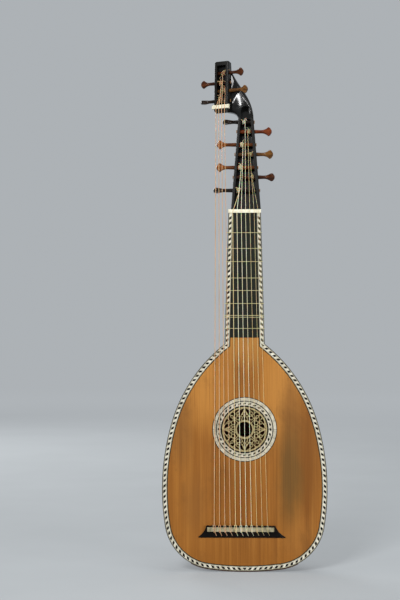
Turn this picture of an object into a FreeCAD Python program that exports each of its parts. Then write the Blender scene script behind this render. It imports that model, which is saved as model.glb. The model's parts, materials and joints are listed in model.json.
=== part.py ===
import FreeCAD, Part

import math
import os

from FreeCAD import Matrix, Placement, Rotation, Vector

# A small eleven-string theorbo, in millimetres: seven strings over the fretted neck, and four
# longer basses that pass beside the neck to a second pegbox on a swan neck.
# X runs from the bass side to the treble side, Y from the soundboard's face to the back of the
# bowl, and Z from the tail to the head. The soundboard's face is the plane Y = 0, and the origin
# is on its centreline at the tail.

# Outline of the body from the front: tangent arcs from the middle of the tail up to the neck.
TAIL_RADIUS, TAIL_SWEEP = 476.0, 7.8
HIP_RADIUS, HIP_SWEEP = 89.8, 73.1
SIDE_RADIUS, SIDE_SWEEP = 417.5, 25.7
SHOULDER_RADIUS = 276.4

# Bowl of bent ribs, with its blocks and the soundboard with its bars.
BOWL_DEPTH_RATIO = 0.85
RIB_COUNT = 9
RIB_THICKNESS = 1.8
RIB_POINT = 5.0
CLASP_THICKNESS = 1.5
CLASP_DEPTH = 26.0
CLASP_HALF_LENGTH = 95.0
CLASP_BOSS_GAP = 0.1
LINER_THICKNESS = 5.0
LINER_HALF_LENGTH = 70.0
BLOCK_LENGTH = 34.0
GLUE_GAP = 0.1
SOUNDBOARD_THICKNESS = 2.0
BAR_THICKNESS = 5.0
BAR_DEPTH = 14.0
BAR_END_GAP = 0.5
BARS_BELOW_ROSE = (12.0, 48.0, 88.0)
BARS_ABOVE_ROSE = (6.0, 34.0)
NAIL_RADIUS = 2.5
NAIL_HEAD_RADIUS = 5.0
NAIL_HEAD_LENGTH = 3.0
NAIL_IN_NECK = 40.0
NAIL_DEPTH = 13.0

# Neck, fingerboard, nut and the length of the strings that are stopped on the frets.
STRING_LENGTH = 553.3
NECK_JOIN_WIDTH = 71.0
NECK_NUT_WIDTH = 57.0
NECK_NUT_DEPTH = 20.0
NECK_SIDE_RADIUS_SHARE = 0.62
SOUNDBOARD_TONGUE = 11.0
NUT_WIDTH = 57.8
NUT_THICKNESS = 6.2
NUT_HEIGHT = 1.9
NUT_BACK_HEIGHT = 0.7
NUT_FLAT = 2.0
NUT_CREST = 1.5

# Rope-pattern edging let into the rims of the soundboard and fingerboard.
EDGING_WIDTH = 8.8
EDGING_NUT_WIDTH = 7.4
EDGING_THICKNESS = 1.0
ROPE_PITCH = 9.4
ROPE_LENGTH = 4.6
ROPE_SLANT = 3.0
ROPE_WIDTH = 4.2

# Rose in the soundboard, its tracery and the rings round it.
ROSE_Z = 251.0
ROSE_RADIUS = 40.0
ROSE_THICKNESS = 1.4
ROSE_RECESS = 0.5
ROSE_RIM_WIDTH = 2.8
ROSE_EYE_RADIUS = 13.6
ROSE_EYE_WALL = 3.2
ROSE_STRAND = 1.3
ROSE_KNOT_CIRCLE = 23.4
ROSE_KNOT_ANGLE = 30.0
ROSE_KNOT_RADIUS = 4.1
ROSE_KNOT_HOLE = 2.7
ROSE_BUD_CIRCLE = 24.6
ROSE_BUD_ANGLE = 9.5
ROSE_BUD_RADIUS = 2.9
ROSE_BUD_HOLE = 1.7
ROSE_SIDE_BUD_CIRCLE = 31.0
ROSE_SIDE_BUD_ANGLE = 22.5
ROSE_LEAF_CIRCLE = 31.6
ROSE_STRAIGHT_BOW = 0.05
ROSE_INNER_BOW = 1.0
ROSE_LANCET_BOW = 0.8
ROSE_FAN_BOW = 1.2
ROSE_CURL_BOW = 1.6
ROSE_LOW_CURL_BOW = 1.4
ROSE_KNOT_SIDE_ANGLE = 8.0
ROSE_CURL_RIM_ANGLE = 9.0
ROSE_CURL_BUD_ANGLE = 3.0
ROSE_LOW_CURL_SHARE = 0.8
RING_INNER_EBONY_WIDTH = 2.3
RING_ROPE_WIDTH = 7.0
RING_MIDDLE_EBONY_WIDTH = 1.6
RING_BONE_WIDTH = 5.3
RING_OUTER_EBONY_WIDTH = 1.2
RING_ROPE_COUNT = 32
RING_LOZENGE_LENGTH = 4.3
RING_LOZENGE_SLANT = -2.0
RING_LOZENGE_WIDTH = 3.2

# Bridge: a tie block with a bone cap, a slope behind it and drawn-out ends.
BRIDGE_X = -6.9
BRIDGE_FRONT_Z = 81.0
BRIDGE_BLOCK_LENGTH = 10.0
BRIDGE_SLOPE_LENGTH = 11.4
BRIDGE_HALF_WIDTH = 61.0
BRIDGE_BASS_TIP = 13.7
BRIDGE_TREBLE_TIP = 17.9
BRIDGE_HEIGHT = 8.0
BRIDGE_SLOPE_HEIGHT = 4.0
BRIDGE_TOE_HEIGHT = 1.5
BRIDGE_TIP_LENGTH = 1.5
BRIDGE_TIP_HOLLOW = 1.8
BRIDGE_TIP_FALL_ALONG = 0.35
BRIDGE_TIP_FALL_DOWN = 0.7
BRIDGE_CAP_THICKNESS = 1.0
BRIDGE_CAP_SETBACK = 2.2
BRIDGE_CAP_END_GAP = 2.0
BRIDGE_CAP_BACK_GAP = 0.2
STRING_OVER_SOUNDBOARD = 6.0
TIE_HOLE_CLEARANCE = 0.25
TIE_STAND_OFF = 0.6

# Strings, from the first (treble) to the eleventh (bass). The first seven are stopped on the
# frets. Each is tied in a loop round the bridge and wound round its peg.
STRING_DIAMETERS = (0.5, 0.55, 0.65, 0.75, 0.85, 0.95, 1.1, 0.95, 1.05, 1.15, 1.25)
STOPPED_COUNT = 7
BRIDGE_SPACING = 9.43
BRIDGE_STRINGS_X = -6.65
NUT_SPACING = 7.6
NUT_STRINGS_X = 1.6
UPPER_NUT_SPACING = 5.3
TIE_BEND_OVER_RADIUS = 0.5
TIE_STRAND_GAP = 0.5
TIE_TAIL_ACROSS = 2.4
TIE_TAIL_SHARE = 0.55
NUT_BEND_RADIUS = 3.0
COIL_GAP = 0.6
COIL_CLEARANCE = 0.1
GROOVE_CLEARANCE = 0.05
SLOT_HEIGHT = 8.0

# Tied gut frets: how far each lies below its equal-tempered place, and how it grips the neck.
FRET_SHIFTS = (4.1, 2.7, -1.8, 1.2, -1.3, -1.6, -0.8, -0.2)
FRET_DIAMETER = 0.8
FRET_FRONT_GAP = 0.1
FRET_SIDE_GAP = 0.2
FRET_CORNER_RADIUS = 1.0
FRET_KNOT_RADIUS = 0.9
FRET_KNOT_LENGTH = 2.6
DOUBLE_FRET = 7
DOUBLE_FRET_SPACING = 3.2

# Lower pegbox, which leans back from the nut. The bass pegs and the treble pegs alternate.
PEGBOX_LEAN = 10.0
PEGBOX_X = 2.2
PEGBOX_FRONT_Y = 1.0
PEGBOX_LENGTH = 168.5
PEGBOX_NUT_WIDTH = 53.0
PEGBOX_TOP_WIDTH = 27.2
PEGBOX_NUT_DEPTH = 21.0
PEGBOX_TOP_DEPTH = 24.0
PEGBOX_BACK_THICKNESS = 4.0
BASS_CHEEK = 4.6
TREBLE_CHEEK = 5.4
PEGBOX_FRONT_ROUND = 1.2
PEGBOX_NUT_ROUND = 9.0
PEGBOX_TOP_ROUND = 5.0
LOWER_PEG_DEPTH = 10.0
LOWER_PEG_FIRST = 36.8
LOWER_PEG_SPACING = 21.0
LOWER_TREBLE_SHIFT = 3.2

# Upper pegbox, which is turned towards the bass side and leans back from its own nut. The nut's
# place is measured from the middle of the lower pegbox's top.
UPPER_NUT_X = -44.5
UPPER_NUT_Y = -30.26
UPPER_NUT_Z = 15.56
UPPER_TURN = 20.0
UPPER_LEAN = 9.0
UPPER_ROLL = 2.5
UPPER_WIDTH = 26.4
UPPER_CAVITY_WIDTH = 16.6
UPPER_BELOW_NUT = 12.0
UPPER_BOTTOM_RISE = 8.0
UPPER_BOTTOM_CORNER = 6.0
UPPER_TOP_CORNER = 3.0
UPPER_LENGTH = 83.5
UPPER_DEPTH = 24.0
UPPER_TOP_DEPTH = 14.0
UPPER_STRAIGHT_LENGTH = 30.0
UPPER_BACK_WALL = 4.0
UPPER_TOP_WALL = 7.0
UPPER_FRONT_ROUND = 2.0
UPPER_NUT_WIDTH = 31.6
UPPER_NUT_THICKNESS = 7.2
UPPER_NUT_HEIGHT = 2.6
UPPER_NUT_BACK_HEIGHT = 1.0
UPPER_NUT_FLAT = 2.6
UPPER_NUT_CREST = 2.0
UPPER_NUT_SEAT = 3.0
UPPER_PEG_DEPTH = 8.6
UPPER_PEG_FIRST = 13.2
UPPER_PEG_SPACING = 16.5
UPPER_TREBLE_SHIFT = 1.4

# Swan neck between the pegboxes. Each station has its end on the inner bend and on the outer
# curve (x, z), the depth of its front face, its thickness and the rounding of its front edges,
# with places measured from the lower pegbox's top.
SWAN_STATIONS = (
    ((-14.7, 2.16), (12.6, 9.56), 0.24, 24.0, 2.0),
    ((-18.0, 5.96), (7.3, 27.56), -3.26, 24.5, 6.5),
    ((-24.4, 8.16), (-2.2, 45.06), -7.76, 25.0, 9.5),
    ((-32.2, 9.16), (-13.0, 60.16), -11.76, 25.0, 9.0),
    ((-38.7, 13.56), (-20.8, 72.56), -11.76, 21.0, 6.0),
    ((-38.2, 39.56), (-26.8, 85.56), -10.26, 13.0, 3.0),
)
SWAN_BACK_ROUND = 5.0
SWAN_CURVE_DEGREE = 2
ARCH_RISE = 19.5
ARCH_DEPTH = 10.0

# Tuning pegs: a tapered shaft that turns in both cheeks, and a turned head flattened on two sides.
PEG_TAPER = 1.0 / 60.0
LOWER_PEG_RADIUS = 3.5
UPPER_PEG_RADIUS = 3.1
PEG_BORE_CLEARANCE = 0.05
PEG_TAPER_END = 1.5
PEG_WAIST_LENGTH = 2.5
PEG_HEAD_LENGTH = 18.5
PEG_HEAD_SWELL = 12.0
PEG_HEAD_RADIUS = 8.2
PEG_HEAD_THICKNESS = 7.0
PEG_HEAD_CROWN = 1.6
PEG_CROWN_SHARE = 0.55
PEG_SWELL_HOLLOW = 1.3
PEG_HEAD_ROUND = 0.9
PEG_CROWN_ROUND = 0.6
PEG_WAIST_RADIUS = 3.1
PEG_TIP_PAST_CHEEK = 1.8
UPPER_HEAD_SHARE = 0.9
PEG_STRING_HOLE_RADIUS = 0.7

# Each peg, from its nut upwards: its string, the side of its head (-1 bass, 1 treble), how far
# its head's end stands from the cheek, the turn of its head at rest, where its string's turns
# start, which way they go and how many they are.
LOWER_PEGS = (
    (7, -1, 34.0, 90.0, -10.4, -1, 4),
    (1, 1, 29.5, 66.0, 10.6, 1, 4),
    (6, -1, 32.0, 4.0, -8.0, -1, 4),
    (2, 1, 30.0, 16.0, 7.2, 1, 4),
    (5, -1, 34.6, -5.0, -5.2, -1, 4),
    (3, 1, 31.0, 3.0, 3.4, 1, 4),
    (4, -1, 27.5, 84.0, -1.4, -1, 4),
)
UPPER_PEGS = (
    (11, -1, 27.5, 80.0, -6.4, 1, 3),
    (8, 1, 34.0, 10.0, 6.4, -1, 3),
    (10, -1, 28.0, 22.0, -1.0, -1, 3),
    (9, 1, 25.5, 32.0, 1.0, 1, 3),
)


# Outline of the body and the taper of the neck


def outline_arcs(inset=0.0):
    """Each arc of the right half: centre x, centre z, radius, and its first and last direction.
    A direction is the angle turned from straight down, so the first arc starts at 0."""
    arcs = []
    x, z, direction = 0.0, 0.0, 0.0
    sweeps = (
        (TAIL_RADIUS, TAIL_SWEEP),
        (HIP_RADIUS, HIP_SWEEP),
        (SIDE_RADIUS, SIDE_SWEEP),
        (SHOULDER_RADIUS, 180.0 - TAIL_SWEEP - HIP_SWEEP - SIDE_SWEEP),
    )
    for radius, sweep in sweeps:
        centre_x = x - radius * math.sin(direction)
        centre_z = z + radius * math.cos(direction)
        end = direction + math.radians(sweep)
        arcs.append((centre_x, centre_z, radius - inset, direction, end))
        x = centre_x + radius * math.sin(end)
        z = centre_z - radius * math.cos(end)
        direction = end
    return arcs


def arc_point(arc, direction):
    centre_x, centre_z, radius = arc[:3]
    return Vector(centre_x + radius * math.sin(direction), 0, centre_z - radius * math.cos(direction))


def shoulder_end(arc, x):
    """Direction on the shoulder arc where the outline comes in to x."""
    return math.pi - math.asin((x - arc[0]) / arc[2])


def line(start, end):
    return Part.LineSegment(start, end).toShape()


def arc_between(start, end, bulge):
    """An arc in the plane of x and z, which bulges to the right of the way from start to end."""
    way = end - start
    right = Vector(way.z, 0, -way.x).normalize()
    return Part.Arc(start, (start + end) / 2 + right * bulge, end).toShape()


def half_outline(inset, x_start, x_end):
    """Edges of the right half of the outline, moved in by inset, from x_start at the tail."""
    arcs = outline_arcs(inset)
    edges = []
    for number, arc in enumerate(arcs):
        first, last = arc[3], arc[4]
        if number == 0:
            first = math.asin(x_start / arc[2])
        if number == len(arcs) - 1:
            last = shoulder_end(arc, x_end)
        points = [arc_point(arc, first + (last - first) * share) for share in (0.0, 0.5, 1.0)]
        edges.append(Part.Arc(*points).toShape())
    return edges


def half_width(z, inset=0.0):
    """Half the body's width at height z."""
    for arc in outline_arcs(inset):
        cosine = (arc[1] - z) / arc[2]
        if abs(cosine) <= 1.0:
            direction = math.acos(cosine)
            if arc[3] <= direction <= arc[4]:
                return arc_point(arc, direction).x
    raise ValueError(f"the outline doesn't reach z = {z}")


JOIN_Z = arc_point(outline_arcs()[-1], shoulder_end(outline_arcs()[-1], NECK_JOIN_WIDTH / 2)).z
FINGERBOARD_END_Z = JOIN_Z + SOUNDBOARD_TONGUE
FINGERBOARD_TOP_Z = BRIDGE_FRONT_Z + STRING_LENGTH
NECK_END_Z = FINGERBOARD_TOP_Z + NUT_THICKNESS
NECK_JOIN_DEPTH = BOWL_DEPTH_RATIO * NECK_JOIN_WIDTH / 2
BRIDGE_BACK_Z = BRIDGE_FRONT_Z - BRIDGE_BLOCK_LENGTH
RING_INNER_EBONY = ROSE_RADIUS + RING_INNER_EBONY_WIDTH
RING_ROPE = RING_INNER_EBONY + RING_ROPE_WIDTH
RING_MIDDLE_EBONY = RING_ROPE + RING_MIDDLE_EBONY_WIDTH
RING_BONE = RING_MIDDLE_EBONY + RING_BONE_WIDTH
RING_OUTER_EBONY = RING_BONE + RING_OUTER_EBONY_WIDTH
EBONY_RING_EDGES = (
    (RING_OUTER_EBONY, RING_BONE),
    (RING_MIDDLE_EBONY, RING_ROPE),
    (RING_INNER_EBONY, ROSE_RADIUS),
)
BONE_RING_EDGES = ((RING_BONE, RING_MIDDLE_EBONY), (RING_ROPE, RING_INNER_EBONY))


def neck_share(z):
    """0 where the neck leaves the body, 1 at its far end."""
    return (z - JOIN_Z) / (NECK_END_Z - JOIN_Z)


def between(first, last, share):
    return first + (last - first) * share


def neck_half(z):
    return between(NECK_JOIN_WIDTH, NECK_NUT_WIDTH, neck_share(z)) / 2


def edging_width(z):
    return between(EDGING_WIDTH, EDGING_NUT_WIDTH, neck_share(max(z, JOIN_Z)))


def prism(points, direction):
    return Part.Face(Part.makePolygon(list(points) + [points[0]])).extrude(direction)


def mirrored(shape):
    """The same shape on the other side of the body's middle plane."""
    return shape.mirror(Vector(0, 0, 0), Vector(1, 0, 0))


def largest(shape):
    return max(shape.Solids, key=lambda solid: solid.Volume)


def outline_plate(inside_edging, top_z, thickness):
    """A plate of the body's outline, and of the neck up to top_z. Its edge is the outline, or the
    inner side of the edging."""
    inset = EDGING_WIDTH if inside_edging else 0.0
    shoulder = outline_arcs(inset)[-1]
    corner_x = neck_half(JOIN_Z) - inset
    corner = arc_point(shoulder, shoulder_end(shoulder, corner_x))
    top = Vector(neck_half(top_z), 0, top_z)
    if inside_edging:
        top.x -= edging_width(top_z)
    right = half_outline(inset, 0.0, corner_x) + [line(corner, top)]
    left = [mirrored(edge) for edge in right]
    across = line(top, Vector(-top.x, 0, top.z))
    outline = Part.Wire(Part.__sortEdges__(right + [across] + left))
    return Part.Face(outline).extrude(Vector(0, thickness, 0))


def disc(radius, front_y, thickness):
    """A disc in the soundboard, centred on the rose."""
    return Part.makeCylinder(radius, thickness, Vector(0, front_y, ROSE_Z), Vector(0, 1, 0))


# Edging with its rope pattern


def rope_arcs():
    """Arcs along the middle of the edging, as far as the corner at the neck."""
    arcs = outline_arcs(EDGING_WIDTH / 2)
    x, z, radius, first, _ = arcs[-1]
    last = shoulder_end(arcs[-1], neck_half(JOIN_Z) - EDGING_WIDTH / 2)
    return arcs[:-1] + [(x, z, radius, first, last)]


def rope_length():
    """Length of the middle of the edging, from the tail to the nut."""
    arcs = rope_arcs()
    around = sum(arc[2] * (arc[4] - arc[3]) for arc in arcs)
    return around + FINGERBOARD_TOP_Z - arc_point(arcs[-1], arcs[-1][4]).z


def rope_point(distance, offset):
    """Point on the right half of the edging: distance along its middle from the tail, and offset
    from there towards the soundboard. Past the body it follows the neck."""
    for centre_x, centre_z, radius, first, last in rope_arcs():
        length = radius * (last - first)
        if distance <= length:
            return arc_point((centre_x, centre_z, radius - offset), first + distance / radius)
        distance -= length
    z = arc_point((centre_x, centre_z, radius), last).z + distance
    return Vector(neck_half(z) - edging_width(z) / 2 - offset, 0, z)


def lozenge_corners(point_at, length, slant, width):
    """Four corners of a slanted lozenge, where point_at gives a point along and across a band."""
    along, lean, across = length / 2, slant / 2, width / 2
    return [
        point_at(-along - lean, -across),
        point_at(along - lean, -across),
        point_at(along + lean, across),
        point_at(-along + lean, across),
    ]


def make_rope_lozenges():
    """The dark lozenges of the edging, with a wide one at the middle of the tail."""
    inlay = Vector(0, EDGING_THICKNESS, 0)
    lozenges = []
    count = int((rope_length() - (ROPE_LENGTH + ROPE_SLANT) / 2) / ROPE_PITCH)
    for number in range(1, count + 1):
        place = number * ROPE_PITCH

        def point_at(along, across):
            return rope_point(place + along, across)

        corners = lozenge_corners(point_at, ROPE_LENGTH, ROPE_SLANT, ROPE_WIDTH)
        lozenges += [prism(corners, inlay), mirrored(prism(corners, inlay))]
    wide = rope_point((ROPE_LENGTH + ROPE_SLANT) / 2, ROPE_WIDTH / 2)
    narrow = rope_point((ROPE_LENGTH - ROPE_SLANT) / 2, -ROPE_WIDTH / 2)
    corners = [wide, narrow, Vector(-narrow.x, 0, narrow.z), Vector(-wide.x, 0, wide.z)]
    return lozenges + [prism(corners, inlay)]


def make_ring_lozenges():
    """The dark lozenges of the rope ring round the rose."""
    radius = (RING_INNER_EBONY + RING_ROPE) / 2
    lozenges = []
    for number in range(RING_ROPE_COUNT):
        turn = 360.0 * number / RING_ROPE_COUNT

        def point_at(along, across):
            return rose_point(radius - across, turn + math.degrees(along / radius), 0.0)

        corners = lozenge_corners(
            point_at, RING_LOZENGE_LENGTH, RING_LOZENGE_SLANT, RING_LOZENGE_WIDTH
        )
        lozenges.append(prism(corners, Vector(0, EDGING_THICKNESS, 0)))
    return lozenges


def make_edging(lozenges):
    around = outline_plate(False, FINGERBOARD_TOP_Z, EDGING_THICKNESS)
    inside = outline_plate(True, NECK_END_Z, EDGING_THICKNESS)
    return around.cut(inside).cut(lozenges)


def make_rings(edges):
    rings = []
    for outer, inner in edges:
        rings.append(disc(outer, 0, EDGING_THICKNESS).cut(disc(inner, 0, EDGING_THICKNESS)))
    return rings


# Rose


def rose_point(radius, angle, y=ROSE_RECESS):
    """A point of the rose, with angle in degrees clockwise from the neck."""
    turn = math.radians(angle)
    return Vector(radius * math.sin(turn), y, ROSE_Z + radius * math.cos(turn))


def stud(centre, radius):
    """A round piece of the rose, as thick as the rose."""
    return Part.makeCylinder(radius, ROSE_THICKNESS, centre, Vector(0, 1, 0))


def strand(start, end, bulge):
    """A thin band of the tracery along an arc that bows to the side by bulge."""
    along = (end - start).normalize()
    side = Vector(along.z, 0, -along.x)
    middle = (start + end) * 0.5 + side * bulge
    half = side * (ROSE_STRAND / 2)
    outer = Part.Arc(start + half, middle + half, end + half).toShape()
    inner = Part.Arc(end - half, middle - half, start - half).toShape()
    ends = [line(end + half, end - half), line(start - half, start + half)]
    return Part.Face(Part.Wire([outer, ends[0], inner, ends[1]])).extrude(Vector(0, ROSE_THICKNESS, 0))


def fan(turn):
    """A fan of lancets that springs from the rim at turn. Its strands end on two knots, on two
    buds near the eye, and on two buds near the rim."""
    apex = rose_point(ROSE_RADIUS - ROSE_RIM_WIDTH / 2, turn)
    eye = ROSE_EYE_RADIUS + ROSE_EYE_WALL / 2
    studs, holes, strands = [], [], []
    for side in (-1, 1):
        knot = turn + side * ROSE_KNOT_ANGLE
        bud = turn + side * ROSE_BUD_ANGLE
        side_bud = turn + side * ROSE_SIDE_BUD_ANGLE
        for circle, angle in ((ROSE_BUD_CIRCLE, bud), (ROSE_SIDE_BUD_CIRCLE, side_bud)):
            studs += [stud(rose_point(circle, angle), ROSE_BUD_RADIUS)]
            holes += [stud(rose_point(circle, angle), ROSE_BUD_HOLE)]
        studs += [stud(rose_point(ROSE_KNOT_CIRCLE, knot), ROSE_KNOT_RADIUS)]
        holes += [stud(rose_point(ROSE_KNOT_CIRCLE, knot), ROSE_KNOT_HOLE)]
        outer_bud = rose_point(ROSE_SIDE_BUD_CIRCLE + ROSE_BUD_HOLE, side_bud)
        inner_bud = rose_point(ROSE_SIDE_BUD_CIRCLE - ROSE_BUD_HOLE, side_bud)
        knot_side = rose_point(ROSE_KNOT_CIRCLE, knot - side * ROSE_KNOT_SIDE_ANGLE)
        strands += [
            strand(apex, outer_bud, -side * ROSE_FAN_BOW),
            strand(apex, knot_side, side * ROSE_FAN_BOW),
            strand(apex, rose_point(ROSE_BUD_CIRCLE + ROSE_BUD_HOLE, bud), side * ROSE_LANCET_BOW),
            strand(inner_bud, rose_point(ROSE_KNOT_CIRCLE, knot), -side * ROSE_INNER_BOW),
            strand(rose_point(eye, knot), rose_point(ROSE_BUD_CIRCLE, bud), -side * ROSE_INNER_BOW),
        ]
    strands += [strand(apex, rose_point(eye, turn), ROSE_STRAIGHT_BOW)]
    return studs, holes, strands


def leaf(turn):
    """A pair of curls on the diagonal between two fans, with a bud on its stalk."""
    rim = ROSE_RADIUS - ROSE_RIM_WIDTH / 2
    knot = 45.0 - ROSE_KNOT_ANGLE
    studs = [stud(rose_point(ROSE_LEAF_CIRCLE, turn), ROSE_BUD_RADIUS)]
    holes = [stud(rose_point(ROSE_LEAF_CIRCLE, turn), ROSE_BUD_HOLE)]
    eye = rose_point(ROSE_EYE_RADIUS + ROSE_EYE_WALL / 2, turn)
    bud_foot = rose_point(ROSE_LEAF_CIRCLE - ROSE_BUD_HOLE, turn)
    bud_head = rose_point(ROSE_LEAF_CIRCLE + ROSE_BUD_HOLE, turn)
    strands = [strand(eye, bud_foot, ROSE_STRAIGHT_BOW)]
    strands += [strand(bud_head, rose_point(rim, turn), ROSE_STRAIGHT_BOW)]
    for side in (-1, 1):
        curl = rose_point(ROSE_KNOT_CIRCLE + ROSE_KNOT_HOLE, turn + side * knot)
        curl_end = rose_point(rim, turn + side * ROSE_CURL_RIM_ANGLE)
        low = rose_point(ROSE_KNOT_CIRCLE, turn + side * knot * ROSE_LOW_CURL_SHARE)
        low_end = rose_point(ROSE_LEAF_CIRCLE, turn + side * ROSE_CURL_BUD_ANGLE)
        strands += [strand(curl, curl_end, side * ROSE_CURL_BOW)]
        strands += [strand(low, low_end, -side * ROSE_LOW_CURL_BOW)]
    return studs, holes, strands


def make_rose():
    """Pierced rose: a ringed eye, four fans of lancets, and a leaf between each two."""
    middle = rose_point(0, 0)
    rim = stud(middle, ROSE_RADIUS - GLUE_GAP).cut(stud(middle, ROSE_RADIUS - ROSE_RIM_WIDTH))
    pieces = [stud(middle, ROSE_EYE_RADIUS + ROSE_EYE_WALL)]
    holes = [stud(middle, ROSE_EYE_RADIUS)]
    for quarter in range(4):
        for studs, pierced, strands in (fan(90.0 * quarter), leaf(90.0 * quarter + 45.0)):
            pieces += studs + strands
            holes += pierced
    return rim.multiFuse(pieces).cut(holes).removeSplitter()


# Soundboard, bowl and blocks


def make_soundboard():
    board = outline_plate(False, FINGERBOARD_END_Z, SOUNDBOARD_THICKNESS)
    around = outline_plate(False, NECK_END_Z, EDGING_THICKNESS)
    inside = outline_plate(True, NECK_END_Z, EDGING_THICKNESS)
    rebate = around.cut(inside)
    sinking = disc(RING_OUTER_EBONY, 0, EDGING_THICKNESS)
    return board.cut([rebate, sinking, disc(ROSE_RADIUS, 0, SOUNDBOARD_THICKNESS)])


def make_fingerboard():
    """The board on the neck, from the soundboard's tongue to the nut, rebated for the edging."""
    low, high = neck_half(FINGERBOARD_END_Z), neck_half(FINGERBOARD_TOP_Z)
    corners = [
        Vector(low, 0, FINGERBOARD_END_Z),
        Vector(high, 0, FINGERBOARD_TOP_Z),
        Vector(-high, 0, FINGERBOARD_TOP_Z),
        Vector(-low, 0, FINGERBOARD_END_Z),
    ]
    board = prism(corners, Vector(0, SOUNDBOARD_THICKNESS, 0))
    around = outline_plate(False, NECK_END_Z, EDGING_THICKNESS)
    inside = outline_plate(True, NECK_END_Z, EDGING_THICKNESS)
    return board.cut(around.cut(inside))


def flattened(shape):
    """The shape squeezed from a round bowl to the bowl's depth, behind the soundboard."""
    squeeze = Matrix()
    squeeze.scale(1.0, BOWL_DEPTH_RATIO, 1.0)
    result = shape.transformGeometry(squeeze)
    result.translate(Vector(0, SOUNDBOARD_THICKNESS, 0))
    return result


def stave(number, outer_inset, inner_inset):
    """A strip of the bowl between two insets: flat across, and bent along the outline between two
    planes through the bowl's axis."""
    top = NECK_JOIN_WIDTH / 2
    outer = half_outline(outer_inset, RIB_POINT, top - outer_inset)
    inner = half_outline(inner_inset, RIB_POINT, top - inner_inset)
    cap = line(outer[-1].Vertexes[-1].Point, inner[-1].Vertexes[-1].Point)
    foot = line(inner[0].Vertexes[0].Point, outer[0].Vertexes[0].Point)
    profiles = []
    for step in (number, number + 1):
        wire = Part.Wire(Part.__sortEdges__(outer + [cap] + inner + [foot]))
        wire.rotate(Vector(0, 0, 0), Vector(0, 0, 1), 180.0 * step / RIB_COUNT)
        profiles.append(flattened(wire))
    return Part.makeLoft(profiles, True, True)


def tail_strip(outer_inset, inner_inset, half_length):
    """A strip along the tail of the bowl, as faceted as the ribs, behind the soundboard."""
    staves = [stave(number, outer_inset, inner_inset) for number in range(RIB_COUNT)]
    base = Vector(-half_length, SOUNDBOARD_THICKNESS, outer_inset)
    box = Part.makeBox(2 * half_length, CLASP_DEPTH, HIP_RADIUS, base)
    return staves[0].multiFuse(staves[1:]).common(box)


def make_end_clasp():
    """The strip over the ribs' ends at the tail, with a boss where their points come together."""
    strip = tail_strip(-CLASP_THICKNESS, 0.0, CLASP_HALF_LENGTH)
    base = Vector(0, SOUNDBOARD_THICKNESS, -CLASP_THICKNESS)
    height = CLASP_THICKNESS + RIB_THICKNESS
    boss = Part.makeCylinder(RIB_POINT * BOWL_DEPTH_RATIO - CLASP_BOSS_GAP, height, base)
    behind = Part.makeBox(4 * RIB_POINT, 2 * RIB_POINT, 2 * height, base - Vector(2 * RIB_POINT, 0, 0))
    pad = Part.makeCylinder(RIB_POINT + CLASP_THICKNESS, CLASP_THICKNESS, base)
    return strip.multiFuse([boss.common(behind), pad.common(behind)]).removeSplitter()


def make_end_liner():
    inset = RIB_THICKNESS + GLUE_GAP
    return largest(tail_strip(inset, inset + LINER_THICKNESS, LINER_HALF_LENGTH))


def bowl_polygon(z):
    """Inner corners of the ribs at height z, closed along the soundboard."""
    radius = half_width(z, RIB_THICKNESS) - GLUE_GAP
    points = []
    for number in range(RIB_COUNT + 1):
        angle = math.pi * number / RIB_COUNT
        depth = BOWL_DEPTH_RATIO * radius * math.sin(angle)
        points.append(Vector(radius * math.cos(angle), SOUNDBOARD_THICKNESS + depth, z))
    return Part.makePolygon(points + [points[0]])


def nail_shaft():
    base = Vector(0, SOUNDBOARD_THICKNESS + NAIL_DEPTH, JOIN_Z - BLOCK_LENGTH)
    return Part.makeCylinder(NAIL_RADIUS, BLOCK_LENGTH + NAIL_IN_NECK, base)


def make_neck_nail():
    base = Vector(0, SOUNDBOARD_THICKNESS + NAIL_DEPTH, JOIN_Z - BLOCK_LENGTH - NAIL_HEAD_LENGTH)
    head = Part.makeCylinder(NAIL_HEAD_RADIUS, NAIL_HEAD_LENGTH, base)
    return nail_shaft().fuse(head).removeSplitter()


def make_neck_block():
    low = bowl_polygon(JOIN_Z - BLOCK_LENGTH)
    high = bowl_polygon(JOIN_Z)
    return Part.makeLoft([low, high], True, True).cut(nail_shaft())


def make_bar(z):
    """A transverse bar whose ends follow the slope of the first ribs."""
    step = math.radians(180.0 / RIB_COUNT)
    slope = (1 - math.cos(step)) / (BOWL_DEPTH_RATIO * math.sin(step))
    narrow = min(half_width(z, RIB_THICKNESS), half_width(z + BAR_THICKNESS, RIB_THICKNESS))
    half = narrow - BAR_END_GAP
    front = SOUNDBOARD_THICKNESS
    back = front + BAR_DEPTH
    corners = [
        Vector(-half, front, z),
        Vector(half, front, z),
        Vector(half - slope * BAR_DEPTH, back, z),
        Vector(-half + slope * BAR_DEPTH, back, z),
    ]
    return prism(corners, Vector(0, 0, BAR_THICKNESS))


def make_bars():
    bars = [make_bar(ROSE_Z - RING_OUTER_EBONY - gap - BAR_THICKNESS) for gap in BARS_BELOW_ROSE]
    bars += [make_bar(ROSE_Z + RING_OUTER_EBONY + gap) for gap in BARS_ABOVE_ROSE]
    return Part.Compound(bars)


# Neck and frets


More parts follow.
